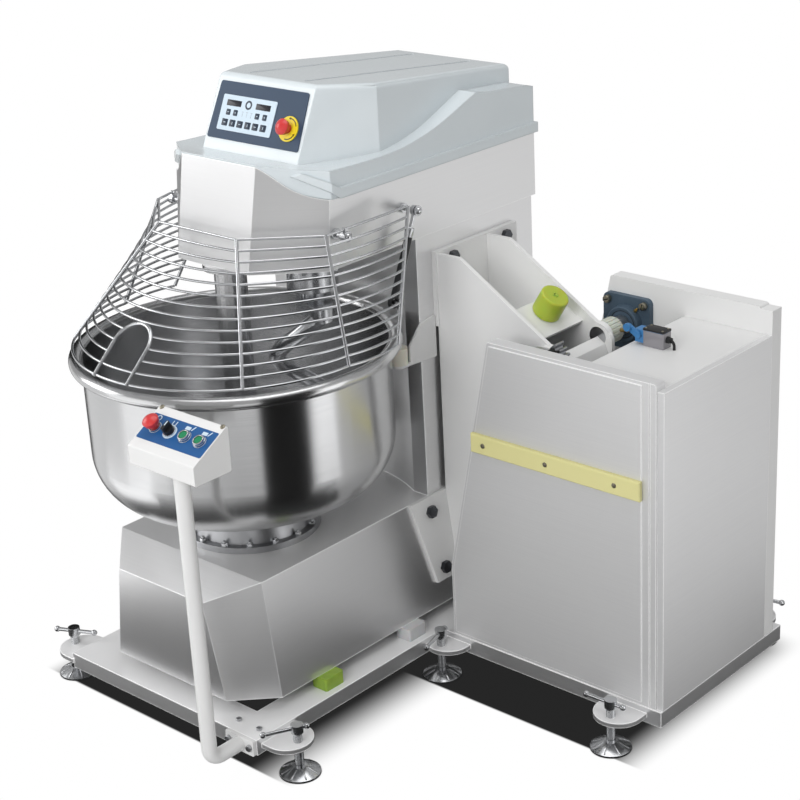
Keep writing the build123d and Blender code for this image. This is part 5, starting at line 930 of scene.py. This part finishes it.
collar_front, collar_end = (corner.y for corner in span("tilt_collar"))
collar_middle = (collar_front + collar_end) / 2
rib_long = collar_end - collar_front - RIB_SHORTER
ribs = bmesh.new()
for way in evenly(COLLAR_RIBS):
    x, z = PIVOT_X + RIB_CIRCLE * cos(way), PIVOT_Z + RIB_CIRCLE * sin(way)
    place = seat(x, collar_middle, z, (cos(way), 0, sin(way)), BACK)
    put(ribs, plate(rib_long, 9.6, thick=2.2, corner=1, edge=0.9), place)
keep(ribs, "collar_ribs", "mixer", "nylon")

pin = bmesh.new()
pin_at = seat(PIVOT_X + PIN_OUT, collar_end - PIN_BEFORE, PIVOT_Z + PIN_UP, PIN_WAY)
put(pin, turned(PIN, steps=16), pin_at)
keep(pin, "collar_pin", "mixer", "brass")

# %% [markdown]
# ## Limit switch
# The switch that stops the tilting has a clear case, a black lid with four screws and a gland for
# its lead. Glass could show the works inside, but the case is small and its plastic hazy, so a
# smooth grey moulding with a coat gives the same look. Rounded plates make case and lid.

# %% Case, lid and gland of the switch
SWITCH_X, SWITCH_Y = 855, 577
CASE_FOOT, LID_FOOT, LID_TOP = 930.1, 970.3, 975.3
GLAND = [(3.8, 0), (8.5, 0), (8.5, 6), (7, 8), (7, 12), (3.8, 12), (3.8, 0)]
GLAND_X, GLAND_Z = 884.4, 952.1
SMALL_SCREW = [(0, 1.4), (2, 1.3), (3, 0), (0, 0)]

case = bmesh.new()
put(case, plate(58.8, 34.8, thick=40.3, corner=3, edge=2), seat(SWITCH_X, SWITCH_Y, CASE_FOOT))
keep(case, "switch_case", "base", "clear_case")

lid = bmesh.new()
put(lid, plate(60, 36, thick=5, corner=3, edge=1.2), seat(SWITCH_X, SWITCH_Y, LID_FOOT))
put(lid, turned(GLAND, steps=20), seat(GLAND_X, SWITCH_Y, GLAND_Z, RIGHT, BACK))
keep(lid, "switch_lid", "base", "black_plastic")

lid_screws = bmesh.new()
screw_seats = [seat(SWITCH_X + u, SWITCH_Y + v, LID_TOP) for u in (-24, 24) for v in (-12, 12)]
put(lid_screws, turned(SMALL_SCREW, steps=16), *screw_seats)
keep(lid_screws, "switch_screws", "base", "zinc")

# %% [markdown]
# ## Cap nuts and strut sleeve
# The guard swings on two pins, which end in cap nuts, and so does the pin of the gas strut. The
# strut that holds the guard up has a bright sleeve at the mouth of its cylinder. All are round
# pieces, so they are turned, and the sleeve is seated along the line between the strut's eyes.

# %% Cap nuts on the pins
CAP_NUT = [(0, 11), (4, 10.4), (7.6, 8), (9, 5), (9, 3), (13, 3), (13, 0), (0, 0)]
GUARD_PIN = (309.2, 100, 1236)
STRUT_PIN = (318.1, 339.5, 1241)

pins = bmesh.new()
for way in (-1, 1):
    put(pins, turned(CAP_NUT), seat(way * GUARD_PIN[0], *GUARD_PIN[1:], (way, 0, 0), BACK))
put(pins, turned(CAP_NUT), seat(*STRUT_PIN, RIGHT, BACK))
keep(pins, "guard_cap_nuts", "mixer", "polished_steel")

# %% Sleeve of the strut
UPPER_EYE, LOWER_EYE = Vector((308, 339.5, 1241)), Vector((308, 247, 1031))
MOUTH_FROM_EYE = 43
SLEEVE = [(5.8, 0), (9, 0), (10.6, 2), (10.6, 24), (9.9, 25), (9.9, 2), (5.8, 1.2), (5.8, 0)]

strut_way = (LOWER_EYE - UPPER_EYE).normalized()
sleeve = bmesh.new()
put(sleeve, turned(SLEEVE), seat(*(UPPER_EYE + strut_way * MOUTH_FROM_EYE), strut_way))
keep(sleeve, "strut_sleeve", "strut_cylinder", "polished_steel")

# %% [markdown]
# ## Ribs of the feet
# Each foot stands on a pressed pad, which is stiffened by ribs that run down its slope. They could
# be pressed into the pad's own profile, but the pad is a measured solid and stays as it is, so
# rounded bars lie on its slope. The record says where each foot stands.

# %% Ribs of the foot pads
PAD_RIBS, FIRST_RIB, RIB_OUT, RIB_UP = 8, 0.3, 34, 11.6
SLOPE_OUT, SLOPE_UP = 0.414, 0.91  # normal of the pad's slope

for mount in frame["record"]["mounts"]:
    if mount["name"].endswith("_rest"):
        centre = (Vector(mount["pos_m"]) - BOWL_AXIS) / MM
        ribs = bmesh.new()
        for way in evenly(PAD_RIBS, FIRST_RIB):
            out = Vector((cos(way), sin(way), 0))
            middle = centre + out * RIB_OUT + Vector((0, 0, RIB_UP))
            place = seat(*middle, out * SLOPE_OUT + Vector((0, 0, SLOPE_UP)), out)
            put(ribs, plate(30, 4.5, thick=2.6, corner=1, edge=1), place)
        foot_name = mount["name"][: -len("_rest")]
        keep(ribs, foot_name + "_ribs", foot_name, "polished_steel")

# %% [markdown]
# ## Eyelet of the buffer
# The arm's buffer is screwed down through its middle, and the rubber rises in a small lip round the
# hole. A hole could be cut, but it is a few millimetres wide and dark only by its lip, so a turned
# eyelet on the sloping top is enough.

# %% Screw hole of the arm's buffer
BUFFER_LEAN, BUFFER_HALF = radians(32), 31
EYELET = [(0, 0.2), (5, 0.2), (6.5, 1.2), (7.5, 0.9), (8, 0.1), (0, -0.5)]

buffer_low, buffer_high = span("arm_buffer")
buffer_up = Vector((sin(BUFFER_LEAN), 0, cos(BUFFER_LEAN)))
buffer_top = (buffer_low + buffer_high) / 2 + buffer_up * BUFFER_HALF
hole = bmesh.new()
put(hole, turned(EYELET, steps=20), seat(*buffer_top, buffer_up))
keep(hole, "buffer_eyelet", "mixer", "green_rubber")

# %% [markdown]
# ## Floor
# A machine on white needs a floor that is white but still takes the shadow under the frame. A
# plain white plane would turn grey away from the lamps, so the plane glows to the camera. Shade
# could come from the lamps alone, but large soft lamps leave hardly any under so low a frame, so
# the glow is turned down over the two footprints, and ambient occlusion adds the rings round the
# feet. Metal mirrors the same floor, with a wider fall of shade, which darkens walls near the floor.

# %% Finish of the floor
# Left, right, front and back of each shade in millimetres: where it begins and where it is full.
MIXER_SHADE = ((-510, -390), (455, 285), (-344, -336), (1010, 880))
PEDESTAL_SHADE = ((270, 290), (1070, 940), (223, 231), (1010, 880))
WIDE_REACH, WIDE_REACH_FRONT = 900, 1950
DARKEST = 0.02
MIRRORED_FLOOR, MIRRORED_SHADE = 0.78, 0.75
FOOT_REACH, FOOT_OPEN = 0.07, (0.30, 0.80)  # metres of shade round a foot, and its two ends
FLOOR_GREY = (0.75, 0.75, 0.75, 1)


def floor_finish():
    """White floor with the shade under the mixer and under the pedestal."""
    material = bpy.data.materials.new("studio_floor")
    material.use_nodes = True
    tree = material.node_tree
    tree.nodes.clear()
    place = Wire(tree.nodes.new("ShaderNodeTexCoord").outputs["Object"])
    x, y = (part * (1 / MM) - axis / MM for part, axis in zip(parts(place)[:2], BOWL_AXIS))

    def shaded(left, right, front, back):
        """1 on a rectangle of floor; each side says where its shade begins and is full."""
        return ramp(x, *left) * ramp(x, *right) * ramp(y, *front) * ramp(y, *back)

    low, high = span("base_frame")
    mixer = shaded(*MIXER_SHADE)
    pedestal = shaded(*PEDESTAL_SHADE)
    wide = shaded(
        (low.x - WIDE_REACH, low.x),
        (high.x + WIDE_REACH, high.x),
        (low.y - WIDE_REACH_FRONT, low.y),
        (high.y + WIDE_REACH, high.y),
    )
    path = tree.nodes.new("ShaderNodeLightPath")
    seen = Wire(path.outputs["Is Camera Ray"]) + Wire(path.outputs["Is Transmission Ray"])
    mirrored = Wire(path.outputs["Is Glossy Ray"])
    near = place.node("ShaderNodeAmbientOcclusion", {"samples": 8}, {"Distance": FOOT_REACH}, out="AO")
    open_floor = (1 - mixer) * (1 - pedestal)
    seen_glow = (DARKEST + (1 - DARKEST) * open_floor) * ramp(near, *FOOT_OPEN) * seen
    strength = seen_glow + (MIRRORED_FLOOR - MIRRORED_SHADE * wide) * mirrored
    lit = place.node("ShaderNodeBsdfDiffuse", {}, {"Color": FLOOR_GREY})
    glow = place.node("ShaderNodeEmission", {}, {"Color": WHITE, "Strength": strength})
    mixed = place.node("ShaderNodeMixShader", {}, {0: seen + mirrored, 1: lit, 2: glow})
    tree.links.new(mixed.socket, tree.nodes.new("ShaderNodeOutputMaterial").inputs["Surface"])
    return material


# %% The floor itself
FLOOR_SIDE = 40


def stage_sheet(name, place, width, length, material):
    """Flat sheet of the studio, not a piece of the machine."""
    shape = blank(width, length)
    bmesh.ops.transform(shape, matrix=place, verts=shape.verts)
    mesh = bpy.data.meshes.new(name)
    shape.to_mesh(mesh)
    shape.free()
    mesh.materials.append(material)
    sheet = bpy.data.objects.new(name, mesh)
    scene.collection.objects.link(sheet)
    return sheet


stage_sheet("studio_floor", Matrix.Identity(4), FLOOR_SIDE, FLOOR_SIDE, floor_finish())
print("floor of", FLOOR_SIDE, "m")

# %% [markdown]
# ## Cards for the mirrors
# Steel shows its surroundings, and on an empty white set it would look like paper. A photographer
# stands black and white cards round the machine, so that round pieces get dark rims and flat sheets
# a clear shade. Cards could be kept out of the picture by standing far off. These show only where
# they are mirrored, so they stand where they are needed and neither light nor shade the machine.

# %% Dark and bright cards
UPRIGHT = Matrix.Rotation(radians(90), 4, "Y")

dark, dark_shader, dark_place = start("dark_card", Roughness=0.9)
feed(dark_shader, Base_Color=tint(noise(dark_place, scale=2.0), rgb(20, 20, 20), rgb(26, 26, 26)))


def bright_card(name, strength):
    """Finish of a card that glows."""
    material, shader, place = start(name, Emission_Strength=strength)
    feed(shader, Emission_Color=tint(noise(place, scale=2.0), WHITE, rgb(250, 250, 250)))
    return material


def card(name, azimuth, distance, width, height, material):
    """Upright sheet that only shows mirrored in the machine."""
    way = Matrix.Translation(BOWL_AXIS) @ Matrix.Rotation(radians(azimuth), 4, "Z")
    stand = Matrix.Translation((distance, 0, height / 2)) @ UPRIGHT
    sheet = stage_sheet(name, way @ stand, height, width, material)
    sheet.visible_camera = sheet.visible_diffuse = False
    sheet.visible_transmission = sheet.visible_shadow = False
    print(name, "stands", distance, "m from the bowl's axis")


card("dark_card", -18, 0.85, 0.44, 1.4, dark)
card("dark_card_left", 172, 0.85, 0.5, 1.4, dark)
card("white_card", -112, 1.8, 1.2, 1.6, bright_card("white_card", 0.72))
card("low_card", -128, 1.0, 0.8, 0.36, bright_card("low_card", 0.98))
card("side_card", 16, 1.9, 0.7, 1.5, bright_card("side_card", 0.8))

# %% [markdown]
# ## World and lamps
# A pale world fills the shadows, and three large lamps model the form, from the front, the left and
# above. One strong lamp would be simpler, but it throws hard shadows that a studio avoids. The front
# lamp is hidden from mirrors, because its square would show on the bowl and the casing. The world
# is full white only to the camera, so the background is white at a plain level of light.

# %% World
WORLD_LIGHT, LESS_MIRRORED = 0.45, 0.05

world = bpy.data.worlds.new("studio")
scene.world = world
world.use_nodes = True
tree = world.node_tree
tree.nodes.clear()
path = tree.nodes.new("ShaderNodeLightPath")
seen = Wire(path.outputs["Is Camera Ray"]) + Wire(path.outputs["Is Transmission Ray"])
strength = WORLD_LIGHT - LESS_MIRRORED * Wire(path.outputs["Is Glossy Ray"]) + (1 - WORLD_LIGHT) * seen
back = seen.node("ShaderNodeBackground", {}, {"Color": WHITE, "Strength": strength})
tree.links.new(back.socket, tree.nodes.new("ShaderNodeOutputWorld").inputs["Surface"])
print("world light", WORLD_LIGHT)


# %% Lamps
def lamp(name, place, target, size, power):
    """Square soft lamp that faces a target."""
    light = bpy.data.lights.new(name, "AREA")
    light.size = size
    light.energy = power
    thing = bpy.data.objects.new(name, light)
    way = Vector(target) - Vector(place)
    thing.matrix_world = Matrix.Translation(place) @ way.to_track_quat("-Z", "Y").to_matrix().to_4x4()
    scene.collection.objects.link(thing)
    print(name, "lamp of", power, "W")
    return thing


front = lamp("front", place=(1.2, -5.0, 3.2), target=(0.2, 0, 0.8), size=3.0, power=145)
front.visible_glossy = False
lamp("left", place=(-4.2, -2.4, 2.6), target=(0, 0, 0.8), size=2.5, power=55)
lamp("top", place=(0.2, 0.0, 5.0), target=(0, 0, 0.8), size=3.5, power=62)
